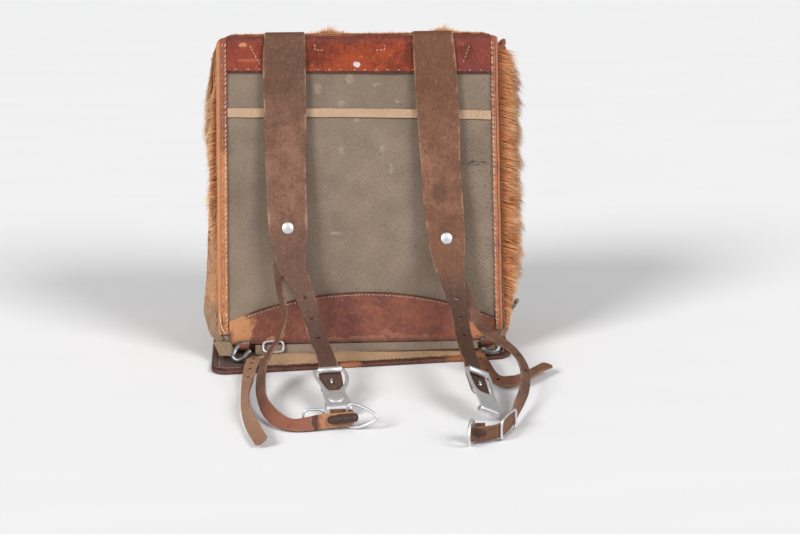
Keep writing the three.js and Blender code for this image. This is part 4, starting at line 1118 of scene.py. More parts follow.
def band_profile(share):
    """Top band's outer line from its lower edge, up the panel, round the corner and back over the top."""
    proud = SEAM_GAP + LEATHER
    centre_h = BAND_HEIGHT + proud - BAND_ROUND
    upright = BAND_DROP + proud - BAND_ROUND
    bend = BAND_ROUND * math.pi / 2
    shelf = BAND_SHELF + proud - BAND_ROUND
    far = share * (upright + bend + shelf)
    angle = np.clip((far - upright) / BAND_ROUND, 0, math.pi / 2)
    back = np.maximum(0, far - upright - bend)
    height = np.minimum(centre_h - upright + far, centre_h) + BAND_ROUND * np.sin(angle)
    height = height - BAND_SAG * ease(back, 0, 8)
    return proud - BAND_ROUND * (1 - np.cos(angle)) - back, height, far


def top_band():
    """Leather band: a section carried across the bag, slanting below, with soft dips along the top."""
    half = PANEL_HALF_TOP - BINDING_WIDTH - SEAM_GAP
    x = np.linspace(-half, half, 150)[None, :]
    proud, height, far = band_profile(np.linspace(0, 1, 44)[:, None])
    low = 1 - ease(far, 0, BAND_DROP)
    dip = ease(far, BAND_DROP * 0.6, BAND_DROP)
    wave = -0.7 - 0.7 * ripples(x, 0, 90, 12)
    height = height - BAND_SLANT * (x / half) * low + wave * dip * 0.8
    puff = (0.3 * ripples(x, height, 40, 13) + 0.25 * ripples(x, height, 16, 19)) * ease(far, 4, 14)
    return wall(on_panel(x, height, proud + puff), -LEATHER, stacked(x, far), 0.4)


def patch_top(x):
    """Height of the patch's arched upper edge."""
    half = PANEL_HALF_FOOT - BINDING_WIDTH - PATCH_INSET
    rise = PATCH_MID_HEIGHT - PATCH_SIDE_HEIGHT
    radius = (half**2 + rise**2) / (2 * rise)
    return PATCH_MID_HEIGHT - radius + np.sqrt(radius**2 - x**2)


def bottom_patch():
    """Arched patch at the foot: a grid between its lower edge and the arc, slightly buckled, edge ragged."""
    half = PANEL_HALF_FOOT - BINDING_WIDTH - PATCH_INSET
    x = np.linspace(-half, half, 150)[None, :]
    foot = PATCH_INSET - 1.2 + 0.5 * ripples(x, 3, 18, 14) + 0.4 * ripples(x, 7, 6, 15)
    height = mix(foot, patch_top(x) + 0.25 * ripples(x, 0, 30, 16), np.linspace(0, 1, 40)[:, None])
    x = x + 0 * height
    proud = SEAM_GAP + LEATHER + 0.3 * ripples(x, height, 50, 17) + 0.15 * ripples(x, height, 14, 18)
    lay = stacked(x, patch_top(x) - height)
    return wall(on_panel(x, height, proud), -LEATHER, lay, 0.4, worn=9)


# Section of the edge binding: share of its width from the inside, and distance proud of the panel
BINDING_SECTION = np.array([
    [1, 0.4], [1.0, 1.8], [0.94, 2.7], [0.82, 3.1], [0.68, 2.7], [0.61, 1.9],
    [0.54, 2.7], [0.4, 3.4], [0.24, 3.3], [0.1, 2.8], [0, 1.8], [0, 0.4],
])
BINDING_CORNER = 11


def edge_binding(side):
    """Strip down a side edge: two ridges carried up the panel's outline and rounded off at the top."""
    height = np.linspace(BINDING_FOOT, BAND_HEIGHT + 1, 170)[:, None]
    section = curve_through(BINDING_SECTION, np.linspace(0, len(BINDING_SECTION) - 1, 34))
    across, proud = section[None, :, 0], section[None, :, 1]
    inward = ease(FOOT_CORNER - height, 0, FOOT_CORNER) * BINDING_TUCK
    lump = 1 + 0.07 * ripples(across * 12, height, 12, 30 + side)
    edge = panel_half(height) - inward + 0.3 * ripples(0, height, 40, 33 + side)
    past = np.clip(height - (BAND_HEIGHT + 1 - BINDING_CORNER), 0, BINDING_CORNER)
    limit = edge - BINDING_CORNER + np.sqrt(BINDING_CORNER**2 - past**2)
    cover = BINDING_COVER[side]
    x = side * np.minimum(edge - BINDING_WIDTH + cover * across, limit)
    rings = on_panel(x, height, SEAM_GAP + (proud - SEAM_GAP) * lump)
    return skin(rings, stacked(across * BINDING_WIDTH, height))


# Seams of a binding: share of its width, distance proud of the panel, and thread
BINDING_SEAMS = {"whip": (0.13, 3.0, WHIP_THREAD), "inner": (0.42, 3.5, DULL_THREAD)}
# Loose thread at the foot of the left binding: across, height and distance proud of the panel
FRAYED_THREAD = [(-167, 38, 3.4), (-166.4, 31, 4.4), (-165.6, 24, 4.8), (-163, 18, 5.2), (-159.6, 13.5, 4.6)]
FRAYED_RADIUS = 0.75


def leather_pieces():
    """Band, patch and bindings, with their seams."""
    put("top_leather_band", top_band(), BAND_LEATHER, ["top_band"])
    put("foot_leather_patch", bottom_patch(), PATCH_LEATHER, ["bottom_patch"])
    for label, side in (("left", -1), ("right", 1)):
        finish = LEFT_BINDING_LEATHER if side < 0 else RIGHT_BINDING_LEATHER
        put(f"{label}_binding", edge_binding(side), finish, [f"edge_binding_{label}"])
        height = np.linspace(BINDING_FOOT + 4, BAND_HEIGHT - 6, 160)
        for row, (share, proud, thread) in BINDING_SEAMS.items():
            x = side * (panel_half(height) - BINDING_WIDTH + BINDING_COVER[side] * share)
            path = on_panel(x, height, proud)
            stitches = seam(path, PANEL_OUT, *BINDING_STITCH, 40 + side, 0.4, 0.18, 0.4 * side)
            put(f"{label}_binding_{row}_seam", stitches, thread)
    fray = on_panel(*np.array(FRAYED_THREAD).T)
    put("frayed_thread", tube(fray, FRAYED_RADIUS, False, 40, 8), WHIP_THREAD)
    panel_seams()


# Short rows of stitches on the band: across and height at their ends and corners
BAND_CORNERS = [
    [(-126.5, 350), (-115.4, 328)],
    [(128.4, 348), (120.1, 326)],
    [(-51.6, 351), (-51, 343.5), (-40, 343)],
    [(29.5, 350), (29, 343), (17.8, 342.5)],
]


def panel_seams():
    """Stitches on the band and the patch, each row laid along its own line on the panel."""
    half = PANEL_HALF_TOP - BINDING_WIDTH - 3
    skin_proud = SEAM_GAP + LEATHER + 0.05
    x = np.linspace(-half, half, 200)
    low = BAND_HEIGHT - BAND_DROP + 3.2 - BAND_SLANT * (x / half)
    rows = [seam(on_panel(x, low, skin_proud), PANEL_OUT, *BAND_STITCH, seed=50)]
    for corners in BAND_CORNERS:
        places = np.array(corners, float)
        far = run_length(places)
        line = along_line(np.linspace(0, far[-1], 40), far, places)
        rows.append(seam(on_panel(*line.T, skin_proud), PANEL_OUT, *BAND_CORNER_STITCH, seed=51))
    put("band_seams", join(*rows), THREAD)
    half = PANEL_HALF_FOOT - BINDING_WIDTH - 8
    x = np.linspace(-half, half, 240)
    arc = on_panel(x, patch_top(x) - 3.0, skin_proud + 0.15)
    put("patch_seam", seam(arc, PANEL_OUT, *PATCH_STITCH, seed=52), THREAD)


# The hide flap and its fur

FLAP_ROUND = 14
FLAP_CROWN = 9
FLAP_FRONT_SHARE = 0.62
FLAP_STEP = 0.1
SHARE_STEP = 0.02
FLAP_DOWN, FLAP_ACROSS = 90, 120
FUR_BACKING = 1.8
# Size of the flap, in mm: of one share across it and of one row down it
SHARE_MM, ROW_MM = 200, 34
HIDE_SHARE_MM = 220
# Rows down the flap: y, z, half width left and right, and how far the wing wraps round the side
FLAP_ROWS = np.array([
    [36, 369.5, 158, 160, 8],
    [52, 365.5, 159, 161, 8],
    [70, 359.5, 165, 168, 14],
    [82, 347, 169, 174, 28],
    [88, 325, 171, 178, 42],
    [92, 280, 172, 180, 46],
    [95, 220, 174, 182, 46],
    [96, 160, 177, 184, 46],
    [95, 110, 180, 185, 44],
    [92, 65, 182, 185, 42],
    [88, 30, 180, 182, 34],
    [84, 12, 176, 178, 18],
    [82, 3.6, 172, 174, 10],
])
LAST_ROW = len(FLAP_ROWS) - 1
FUR_LAST_ROW = LAST_ROW - 1


def flap_point(row, column):
    """Outer face of the flap by row and share across: crowned front, wings bent round the sides."""
    y, z, left, right, wing = np.moveaxis(read_rows(FLAP_ROWS, row), -1, 0)
    step = read_rows(FLAP_ROWS, row + FLAP_STEP) - read_rows(FLAP_ROWS, row - FLAP_STEP)
    outward = unit(stacked(-step[..., 1], step[..., 0]))
    half = np.where(column < 0, left, right) - FLAP_ROUND
    reach = np.abs(column) / FLAP_FRONT_SHARE
    crown = FLAP_CROWN * (1 - reach**2) * ease(row, 1.5, 5) * ease(LAST_ROW - row, 0, 3)
    bent = np.maximum(0, np.abs(column) - FLAP_FRONT_SHARE) / (1 - FLAP_FRONT_SHARE) * wing
    angle = np.minimum(bent / FLAP_ROUND, math.pi / 2)
    inward = FLAP_ROUND * (1 - np.cos(angle)) + np.maximum(0, bent - FLAP_ROUND * math.pi / 2)
    shift = np.where(reach <= 1, crown, -inward)
    x = np.sign(column) * np.where(reach <= 1, half * reach, half + FLAP_ROUND * np.sin(angle))
    return stacked(x, y + outward[..., 0] * shift, z + outward[..., 1] * shift)


def flap_outward(row, column):
    """Unit direction out of the flap: the step across it crossed with the step down it."""
    down = unit(flap_point(row + FLAP_STEP, column) - flap_point(row - FLAP_STEP, column))
    over = unit(flap_point(row, column + SHARE_STEP) - flap_point(row, column - SHARE_STEP))
    return unit(np.cross(over, down))


# Lay of the fur by share across: length, rise off the skin and spread to the side
FUR_LAY = np.array([
    [-1.0, 20, 0.30, 0.30],
    [-0.7, 26, 0.40, 0.20],
    [-0.3, 34, 0.34, 0.05],
    [0.3, 34, 0.34, 0.05],
    [0.7, 26, 0.8, 0.35],
    [1.0, 23, 1.4, 0.60],
])
HAIR_ALONG = np.array([0, 0.36, 0.72, 1.0])
HAIR_WIDE = np.array([1.0, 0.9, 0.62, 0.0])
HAIR_POINTS = 7
HAIR_FLOOR = 0.6
HAIR_WIDTH = 0.55
WALL_HAIR_WIDTH = 0.5
# Each hair's cell in its own map is this many times as tall as wide, and its points lie here in it
HAIR_CELL_SLIM = 3
HAIR_CELL = np.array([
    [0.1, 0.05], [0.9, 0.05], [0.1, 0.38], [0.9, 0.38], [0.1, 0.7], [0.9, 0.7], [0.5, 0.95],
])


def scatter(grid, count, draw):
    """Random places spread evenly on a grid surface: a cell is drawn by its area, then a place in it."""
    down, over = np.diff(grid, axis=0), np.diff(grid, axis=1)
    area = np.linalg.norm(np.cross(down[:, :-1], over[:-1]), axis=-1).ravel()
    cell = draw.choice(len(area), count, p=area / area.sum())
    i, j = np.divmod(cell, grid.shape[1] - 1)
    a, b = draw.random((2, count, 1))
    point = mix(mix(grid[i, j], grid[i + 1, j], a), mix(grid[i, j + 1], grid[i + 1, j + 1], a), b)
    return point, unit(down[i, j]), unit(over[i, j]), i + a[:, 0], j + b[:, 0]


def lean(axes, shares):
    """Unit directions of hairs: the axes down, out and over, each weighed by its share."""
    return unit(sum(np.asarray(share)[..., None] * axis for share, axis in zip(shares, axes)))


def hair(name, root, lean_start, lean_end, out, length, tone, draw, width=HAIR_WIDTH):
    """Many hairs: each is a thin blade that leaves the skin along one lean and bends towards another."""
    count = len(root)
    t = HAIR_ALONG[None, :, None]
    spine = root[:, None] + length[:, None, None] * (
        lean_start[:, None] * t + (lean_end - lean_start)[:, None] * t**2 / 2
    )
    twist = draw.uniform(-0.9, 0.9, count)[:, None]
    across = unit(np.cross(lean_start, out))
    broad = unit(across * np.cos(twist) + out * np.sin(twist))
    half = (width * draw.uniform(0.6, 1.2, count))[:, None, None] * HAIR_WIDE[None, :, None] / 2
    sides = np.stack([spine - broad[:, None] * half, spine + broad[:, None] * half], axis=2)
    points = np.concatenate([sides[:, :-1].reshape(count, -1, 3), spine[:, -1:]], axis=1)
    points[..., 2] = np.maximum(points[..., 2], HAIR_FLOOR)
    base = (np.arange(count) * HAIR_POINTS)[:, None]
    blocks = [base + corners for corners in ([0, 1, 3, 2], [2, 3, 5, 4], [4, 5, 6])]
    along = np.tile(np.repeat(HAIR_ALONG, 2)[:HAIR_POINTS], count)
    cells = math.ceil(math.sqrt(count * HAIR_CELL_SLIM))
    cell = stacked(*np.divmod(np.arange(count), cells)[::-1])
    atlas = (cell[:, None] + HAIR_CELL) / [cells, math.ceil(count / cells)]
    mesh = filled_mesh(
        name, points.reshape(-1, 3), blocks, "OFBake", atlas.reshape(-1, 2),
        along=along, tone=np.repeat(tone, HAIR_POINTS),
    )
    finished(name, mesh, FUR_HAIR)


# Stretches of the flap's long fur: rows down it, shares across it and the number of hairs
FLAP_FUR = {
    "fur_left_side": ((2.8, 9.8), (-1.0, -0.6), 19000),
    "fur_right_side": ((2.2, 10.4), (0.56, 1.0), 30000),
    "fur_front_high": ((0.05, 5.6), (-0.64, 0.6), 29000),
    "fur_front_low": ((5.4, 10.2), (-0.64, 0.6), 29000),
}
FLAP_FUR_SEED = 90
# Short fur high on the wings: side, share of the length cut off, and rows between which it grows long
SHORT_WINGS = ((1, 0.5, 2.4, 4.2), (-1, 0.75, 3.6, 4.8))


def flap_hair(name, rows, columns, count, seed):
    """A stretch of the flap's fur, lying down it in locks; the top edge is short but for two tufts."""
    draw = np.random.default_rng(seed)
    row_steps, column_steps = np.linspace(*rows, FLAP_DOWN), np.linspace(*columns, FLAP_ACROSS)
    grid = flap_point(*np.meshgrid(row_steps, column_steps, indexing="ij"))
    root, down, over, i, j = scatter(grid, count, draw)
    out = unit(np.cross(over, down))
    row = np.interp(i, np.arange(FLAP_DOWN), row_steps)
    column = np.interp(j, np.arange(FLAP_ACROSS), column_steps)
    length, rise, spread = (np.interp(column, FUR_LAY[:, 0], FUR_LAY[:, k]) for k in (1, 2, 3))
    low_top = ease(row, 0.6, 3.2)
    tuft = np.exp(-(((column + 0.14) / 0.07) ** 2)) + np.exp(-(((column - 0.42) / 0.06) ** 2))
    worn = ease(-column, 0.55, 0.75) * ease(row, 5.2, 6.6)
    clump = ripples(column * SHARE_MM, row * ROW_MM, 30, seed=77)
    lock = ripples(column * SHARE_MM, row * ROW_MM, 13, seed=78)
    length = length * mix(0.3 + 0.4 * tuft, 1, low_top) * (1 - 0.6 * worn)
    for wing, cut, first, last in SHORT_WINGS:
        length = length * (1 - cut * ease(wing * column, 0.5, 0.7) * (1 - ease(row, first, last)))
    length = length * (1 - 0.6 * ease(row, 8.4, 10.2))
    length = length * (1 + 0.22 * lock) * draw.uniform(0.55, 1.12, count)
    rise = rise * mix(0.5 + 0.7 * tuft, 1, low_top) * (1 - 0.75 * worn)
    side = np.sign(column) * spread + 0.25 * clump + 0.2 * lock + draw.normal(0, 0.12, count)
    rise = np.maximum(0.05, rise * (1 + 0.3 * lock) + draw.normal(0, 0.12, count))
    start = lean((down, out, over), (1, rise * 1.5, side))
    end = lean((down, out, over), (1, rise * 0.7, side * 1.2))
    varied = mix(0.45, 1, ease(np.abs(column), 0.5, 0.7))
    tone = np.clip(0.5 + varied * (0.2 * clump + 0.22 * lock) + draw.normal(0, 0.16, count), 0, 1)
    hair(name, root + out * (FUR_BACKING * 0.6), start, end, out, length, tone, draw)


# Fur of the two side walls
WALL_FUR = {
    "fur_left_wall": dict(
        side=-1, count=16000, length=13, rise=0.1, stand=1.2, pale=0.6, bare=0.86,
        bare_up_to=(0.3, 0.48), bare_from=(0.78, 0.88),
    ),
    "fur_right_wall": dict(
        side=1, count=25000, length=22, rise=0.6, stand=1.6, pale=0.34, bare=0.5,
        bare_up_to=(0.08, 0.34), bare_from=(0.95, 1.0),
    ),
}
WALL_FUR_SEED = 95


def wall_hair(name, seed, side, count, **look):
    """Fur on a side wall: it stands off beside the binding and lies down further back.

    look: length, rise off the wall, stand (further rise beside the binding), pale (tone), bare (share of the
    hairs rubbed off), bare_up_to and bare_from (height shares where the fur thickens and thins out again).
    """
    draw = np.random.default_rng(seed)
    stations = side_stations(side)[8:-4]
    edge = stations[:, :1] - side * np.array([[BINDING_WIDTH - BINDING_COVER[side], 0.2]])
    turned = on_panel(edge, stations[:, 1:2], np.array([[1.4, 0.8]]))
    grid = np.concatenate([turned, boxing_grid(stations, WALL_SEED + (side > 0))[:, 1:30]], axis=1)
    root, up, over, i, j = scatter(grid, count, draw)
    down = -up
    out = unit(np.cross(over, down)) * -side
    height = i / grid.shape[0]
    depth = j / grid.shape[1]
    clump = ripples(i * 4, j * 3, 26, seed=79)
    lock = ripples(i * 4, j * 3, 11, seed=80)
    full = ease(height, *look["bare_up_to"]) * (1 - ease(height, *look["bare_from"]))
    near = (1 - ease(depth, 0.05, 0.5)) * full
    front = 1 - ease(j, 0.5, 1.5)
    reach = look["length"] * mix(0.6, 1, near) * draw.uniform(0.5, 1.1, count) * (1 + 0.25 * lock)
    lift = look["rise"] * full + look["stand"] * near * (1 + 0.3 * lock)
    lift = np.maximum(0.04, lift * (1 - 0.5 * front) + draw.normal(0, 0.06, count))
    away = mix(0.75, 0.1, near) + front * 1.4 + 0.18 * clump + 0.2 * lock + draw.normal(0, 0.16, count)
    fall = 1 - 0.55 * near
    start = lean((down, out, over), (fall, lift * 1.5, away))
    end = lean((down, out, over), (fall, lift * 0.8, away * 1.1))
    # Hairs further from the binding are painted darker: painted shade of the valley under the flap's wing.
    # The clump and lock terms are partly the fur's own streaks and partly painted shade between the locks.
    tone = look["pale"] - 0.3 * ease(depth, 0.25, 0.7) + 0.12 * clump + 0.16 * lock
    tone = np.clip(tone + draw.normal(0, 0.16, count), 0, 1)
    kept = draw.random(count) > look["bare"] * (1 - full)
    parts = [part[kept] for part in (root, start, end, out, reach, tone)]
    hair(name, *parts, draw, WALL_HAIR_WIDTH)


def flap_pieces():
    """The hide, the wool on it, the long hair in four stretches, and the hair of the side walls."""
    row = np.linspace(0, LAST_ROW, FLAP_DOWN)
    column = np.linspace(-1, 1, FLAP_ACROSS)
    rows, columns = np.meshgrid(row, column, indexing="ij")
    grid = flap_point(rows, columns)
    lay = stacked(columns * HIDE_SHARE_MM, rows * ROW_MM)
    put("hide_flap", wall(grid, -HIDE, lay), HIDE_SUEDE, ["flap_hide"])
    rows = rows * FUR_LAST_ROW / LAST_ROW
    depth = FUR_BACKING + SEAM_GAP + 0.6 * ripples(columns * SHARE_MM, rows * ROW_MM, 9, 61)
    wool = flap_point(rows, columns) + flap_outward(rows, columns) * depth[..., None]
    put("fur_wool", wall(wool, -FUR_BACKING, lay), FUR_UNDER, ["flap_fur"])
    for seed, (name, stretch) in enumerate(FLAP_FUR.items()):
        flap_hair(name, *stretch, FLAP_FUR_SEED + seed)
    for seed, (name, look) in enumerate(WALL_FUR.items()):
        wall_hair(name, WALL_FUR_SEED + seed, **look)


# The flap's end, folded back under the bag

# Section of its leather edge: distance in from the outline, and height
TONGUE_SECTION = np.array([
    [END_BINDING, 4.3], [10, 5.2], [5, 5.3], [1.4, 4.7], [0, 2.7], [1.2, 0.35], [6, 0.1], [END_BINDING, 0.1],
])
LINING_THICK = 1.6
LINING_Z = 2.0
# Soft roll of the lining in front of the bag: how far behind the edge, limits in y, half width and rise
ROLL_BEHIND = 23
ROLL_LIMITS = (-74, -63)
ROLL_HALF = 8.5
ROLL_RISE = 8.0
TONGUE_EDGE = 1.6
TONGUE_LEG = 24
TONGUE_SEAM_IN = 9.5
TONGUE_SEAM_RISE = np.array([0, 0, 5.25])
TONGUE_SEAM_BACK = -40
UPWARDS = np.array([0, 0, 1.0])


def tongue_front(x, grow=0.0):
    """Front edge of the tongue: a slanted line that turns back at both corners."""
    side = END_HALF_WIDTH + grow
    corner = END_CORNER + grow
    line = mix(END_REACH_LEFT, END_REACH_RIGHT, (x + side) / (2 * side)) - grow
    t = np.clip((np.abs(x) - (side - corner)) / corner, 0, 1)
    return line + corner * (1 - np.sqrt(1 - t**2))


def tongue_sheet():
    """Lining of the flap's end: lies flat under the bag and rises in soft folds in front of it."""
    x = np.sin(np.linspace(-1, 1, 140) * math.pi / 2)[None, :] * (END_HALF_WIDTH - 0.5)
    share = np.linspace(0, 1, 70)[:, None]
    front = tongue_front(x)
    y = mix(front, END_BACK_Y, share**1.6)
    inside = y - front
    free = ease(-y, 50, 60) * ease(inside, 12, 19) * ease(END_HALF_WIDTH - np.abs(x), 20, 70)
    middle = np.clip(front + ROLL_BEHIND, *ROLL_LIMITS) + 2.0 * ripples(x, 0, 150, 70)
    roll = np.exp(-(((y - middle) / ROLL_HALF) ** 2))
    z = LINING_Z + free * (ROLL_RISE * roll + 1.0 * ripples(x, y, 60, 71) + 0.8)
    return wall(stacked(x, y, z), LINING_THICK, stacked(x, y), 0.2)


def tongue_binding():
    """Leather edge of the tongue: a narrow folded strip carried round its outline, open at the back."""
    x = np.sin(np.linspace(-1, 1, 160) * math.pi / 2) * (END_HALF_WIDTH + TONGUE_EDGE)
    line = stacked(x, tongue_front(x, TONGUE_EDGE), 0)
    left = stacked(line[0, 0], np.linspace(END_BINDING_BACK, line[0, 1], TONGUE_LEG)[:-1], 0)
    right = stacked(line[-1, 0], np.linspace(line[-1, 1], END_BINDING_BACK, TONGUE_LEG)[1:], 0)
    path = np.vstack([left, line, right])
    along = unit(np.gradient(path, axis=0))
    inward = np.cross([0, 0, 1], along)
    far = run_length(path)
    ring = curve_through(TONGUE_SECTION, np.linspace(0, len(TONGUE_SECTION) - 1, 26))
    across, high = ring[None, :, :1], ring[None, :, 1]
    wobble = 0.35 * ripples(far, 0, 60, 73)[:, None]
    rings = path[:, None] + inward[:, None] * (across + 0 * far[:, None, None])
    grain = 0.25 * ripples(far[:, None], high * 4, 12, 74)
    rings[..., 2] = np.maximum(0.05, high + wobble * ease(high, 2, 5) + grain)
    rim = np.broadcast_to(ease(4 - ring[:, 0], 0, 3), rings.shape[:2])
    return skin(rings, stacked(across[..., 0], far[:, None]), rim), path, inward


CORNER_LEFT = -END_HALF_WIDTH + 2
CORNER_RIGHT = -END_HALF_WIDTH + 54
CORNER_IN = 8
CORNER_DEPTH = 24
CORNER_BACK_Y = -54
CORNER_Z = 3.9
CORNER_THICK = 1.2
CORNER_LINE_IN = 9
CORNER_LINE_HALF = 1.3


def tongue_corner():
    """Dark leather sewn on the tongue's left corner: a grid inside the outline with a raised line."""
    share = np.linspace(0, 1, 50)[None, :]
    down = np.linspace(0, 1, 40)[:, None]
    x = mix(CORNER_LEFT, CORNER_RIGHT, share) + 0 * down
    front = tongue_front(x) + CORNER_IN
    y = mix(front, mix(CORNER_BACK_Y, front + CORNER_DEPTH, ease(share, 0.3, 1)), down)
    from_edge = np.minimum(x + END_HALF_WIDTH - 3, y - front)
    line = np.exp(-(((from_edge - CORNER_LINE_IN) / CORNER_LINE_HALF) ** 2))
    z = CORNER_Z + 1.0 * ease(7 - from_edge, 0, 7) + 0.9 * line + 0.25 * ripples(x, y, 14, 76)
    return wall(stacked(x, y, z), CORNER_THICK, stacked(x, y), 0.3, worn=4)


# Corners of the canvas that folds out at the left foot: two at the wall, two over the tongue
FOLD_CORNERS = np.array([[[-176, -52, 22], [-155, -61, 24]], [[-168, -70, 10.5], [-148.5, -79, 12.5]]], float)
FOLD_OUT = unit(np.array([-0.35, -0.72, 0.6]))
FOLD_SIZE = (23, 23.5)
FOLD_THICK = 1.4
FOLD_PUFF = 3.2
FOLD_CREASE = 1.3


def corner_fold():
    """Canvas folded out at the left foot: a patch between four corners, puffed up and creased across."""
    u, v = np.meshgrid(np.linspace(0, 1, 40), np.linspace(0, 1, 30))
    low = mix(FOLD_CORNERS[0, 0], FOLD_CORNERS[0, 1], u[..., None])
    high = mix(FOLD_CORNERS[1, 0], FOLD_CORNERS[1, 1], u[..., None])
    grid = mix(low, high, v[..., None])
    crease = np.exp(-(((u - 0.45 - 0.2 * v) / 0.07) ** 2))
    puff = FOLD_PUFF * np.sin(math.pi * u) * np.sin(math.pi * (0.15 + 0.7 * v)) - FOLD_CREASE * crease
    grid = grid + FOLD_OUT * puff[..., None]
    return wall(grid, FOLD_THICK, stacked(u * FOLD_SIZE[0], v * FOLD_SIZE[1]), 0.3)


HEM_LEFT, HEM_RIGHT = -126, 136
HEM_FACE = unit(np.array([0, -0.8, 0.6]))
HEM_TOP_Y, HEM_TOP_Z = -61.6, 19.4
HEM_REACH = 6.0
HEM_FALL = 9.2
HEM_ROUND = 1.4
HEM_NARROW = 0.72
HEM_THICK = 1.2


def base_hem():
    """Hem of the base under the patch: a strip that rolls out of the panel's foot and leans on the tongue."""
    x = np.linspace(HEM_LEFT, HEM_RIGHT, 150)[None, :]
    down = np.linspace(0, 1, 14)[:, None]
    narrow = mix(1, HEM_NARROW, (x - HEM_LEFT) / (HEM_RIGHT - HEM_LEFT))
    soft = 0.5 * ripples(x, down * 12, 50, 84) * down
    y = HEM_TOP_Y - HEM_REACH * down - HEM_ROUND * np.sin(math.pi * down) + soft
    z = HEM_TOP_Z - HEM_FALL * narrow * down + soft
    grid = stacked(x, y, z)
    shape = wall(grid, -HEM_THICK, stacked(x, 10 * down), 0.3)
    return shape, grid[2] + HEM_FACE * 0.2


def tongue_pieces():
    """Lining and leather edge of the flap's end, with its corner piece, the hem over it and their seams."""
    sheet = put("tongue_lining", tongue_sheet(), LINING, ["flap_end"])
    shape, path, inward = tongue_binding()
    put("tongue_binding", shape, TONGUE_LEATHER, ["flap_end_binding"])
    put("tongue_corner", tongue_corner(), CORNER_LEATHER)
    fold = put("corner_fold", corner_fold(), CANVAS_WALL)
    hem_shape, hem_line = base_hem()
    hem = put("base_hem", hem_shape, CANVAS_PANEL)
    put("hem_seam", seam(hem_line, HEM_FACE, *HEM_STITCH, seed=85), THREAD)
    line = path + inward * TONGUE_SEAM_IN + TONGUE_SEAM_RISE
    front = line[path[:, 1] < TONGUE_SEAM_BACK]
    put("tongue_seam", seam(front, UPWARDS, *TONGUE_STITCH, seed=75), WHIP_THREAD)


# Straps: middle line, width and the way the grain faces, one row for each bend

RIVET_ROW = 7
HOOK_STRAP_DEPTH = -5.2
HOOK_STRAP_WIDTH = 25.5
AUX_WIDTH = 18
HOLE_RADIUS = 2.1


def hook_frame(roller, bend, across_hint):
    """Local axes of a hook: across, along from the roller to the bend, and up from its face."""
    roller, bend, across = (np.array(v, float) for v in (roller, bend, across_hint))
    along = unit(bend - roller)
    across = unit(across - along * np.dot(across, along))
    return np.array([across, along, np.cross(across, along)]), roller


def in_hook(hook, local):
    """Place in the bag's frame of points given in a hook's own frame."""
    axes, origin = hook
    return origin + np.asarray(local, float) @ axes


HOOKS = {
    "left": hook_frame((-43, -197, 34), (-38, -259.5, 10), (-1, 0, 0)),
    "right": hook_frame((118, -229, 39), (125, -286, 15.5), (-0.84, 0, 0.54)),
}


def rows_in_hook(hook, width):
    """Last rows of a shoulder strap, which run under the roller of its hook."""
    along = np.array([-16, -6, 4, 17, 34])
    local = stacked(0, along, HOOK_STRAP_DEPTH)
    widths = np.array([[width - 4], [width - 2], [width], [width], [width]])
    return np.hstack([in_hook(hook, local), widths, np.tile(hook[0][2], (5, 1))])


SHOULDER = {
    "left": np.array([
        [-86, 28, 372.6, 46, 0, 0.16, 0.99],
        [-86, 3.1, 377.0, 46, 0, 0.16, 0.99],
        [-86, -5.1, 375.1, 47, 0, -0.59, 0.81],
        [-86, -9.6, 367.9, 48, 0, -0.99, 0.16],
        [-87, -16.6, 335, 49.5, 0, -0.99, 0.15],
        [-87, -26.2, 284, 49, 0, -0.98, 0.17],
        [-87, -39.7, 225, 47, 0, -0.97, 0.22],
        [-86, -56.1, 160, 45, 0, -0.96, 0.27],
        [-83, -67.8, 124, 34, -0.05, -0.94, 0.34],
        [-73, -80.5, 99, 25, -0.1, -0.88, 0.46],
        [-64, -97, 76, 21, -0.1, -0.76, 0.64],
        [-56.5, -121, 55, 20, -0.08, -0.55, 0.83],
        [-49.5, -152, 43, 20.5, -0.03, -0.38, 0.92],
    ]),
    "right": np.array([
        [86, 28, 372.6, 46, 0, 0.16, 0.99],
        [86, 3.1, 377.0, 46, 0, 0.16, 0.99],
        [86, -5.1, 375.1, 47, 0, -0.59, 0.81],
        [86, -9.6, 367.9, 48, 0, -0.99, 0.16],
        [88, -16.6, 333, 50, 0, -0.99, 0.15],
        [91, -26.6, 282, 49, 0, -0.98, 0.17],
        [93, -40.1, 222, 47, 0, -0.97, 0.22],
        [98.5, -58.4, 145, 44, 0, -0.95, 0.3],
        [101, -69.2, 116, 35, 0.03, -0.93, 0.36],
        [105, -82.5, 94, 26, 0.08, -0.87, 0.48],
        [109, -98, 73, 21, 0.15, -0.74, 0.65],
        [111.5, -122, 55.5, 20, 0.22, -0.5, 0.84],
        [112, -165, 47, 20.5, 0.35, -0.25, 0.9],
    ]),
}
for side_name, hook_axes in HOOKS.items():
    SHOULDER[side_name] = np.vstack([SHOULDER[side_name], rows_in_hook(hook_axes, HOOK_STRAP_WIDTH)])


def strap_frame(rows, at):
    """Centre, across, face and half width of a strap at row numbers along it."""
    centre = curve_through(rows[:, :3], at)
    along = unit(curve_through(rows[:, :3], at + 0.01) - curve_through(rows[:, :3], at - 0.01))
    across = unit(np.cross(along, read_rows(rows[:, 4:7], at)))
    face = np.cross(across, along)
    return centre, across, face, read_rows(rows[:, 3:4], at)[:, 0] / 2


def strap(rows, thickness=STRAP, per_row=12, seed=1, uneven=0.35, tip=0.0):
    """Leather strap along its rows, of slightly uneven width; its last stretch may be rounded off."""
    at = np.linspace(0, len(rows) - 1, (len(rows) - 1) * per_row + 1)
    centre, across, face, half = strap_frame(rows, at)
    far = run_length(centre)
    half = half + uneven * ripples(far, 0, 60, seed)
    if tip:
        half = half * np.sqrt(1 - 0.7 * np.clip((far - far[-1] + tip) / tip, 0, 1) ** 2)
    centre = centre + across * (uneven * ripples(far, 9, 80, seed + 1))[:, None]
    return ribbon(centre, across, face, half, thickness)


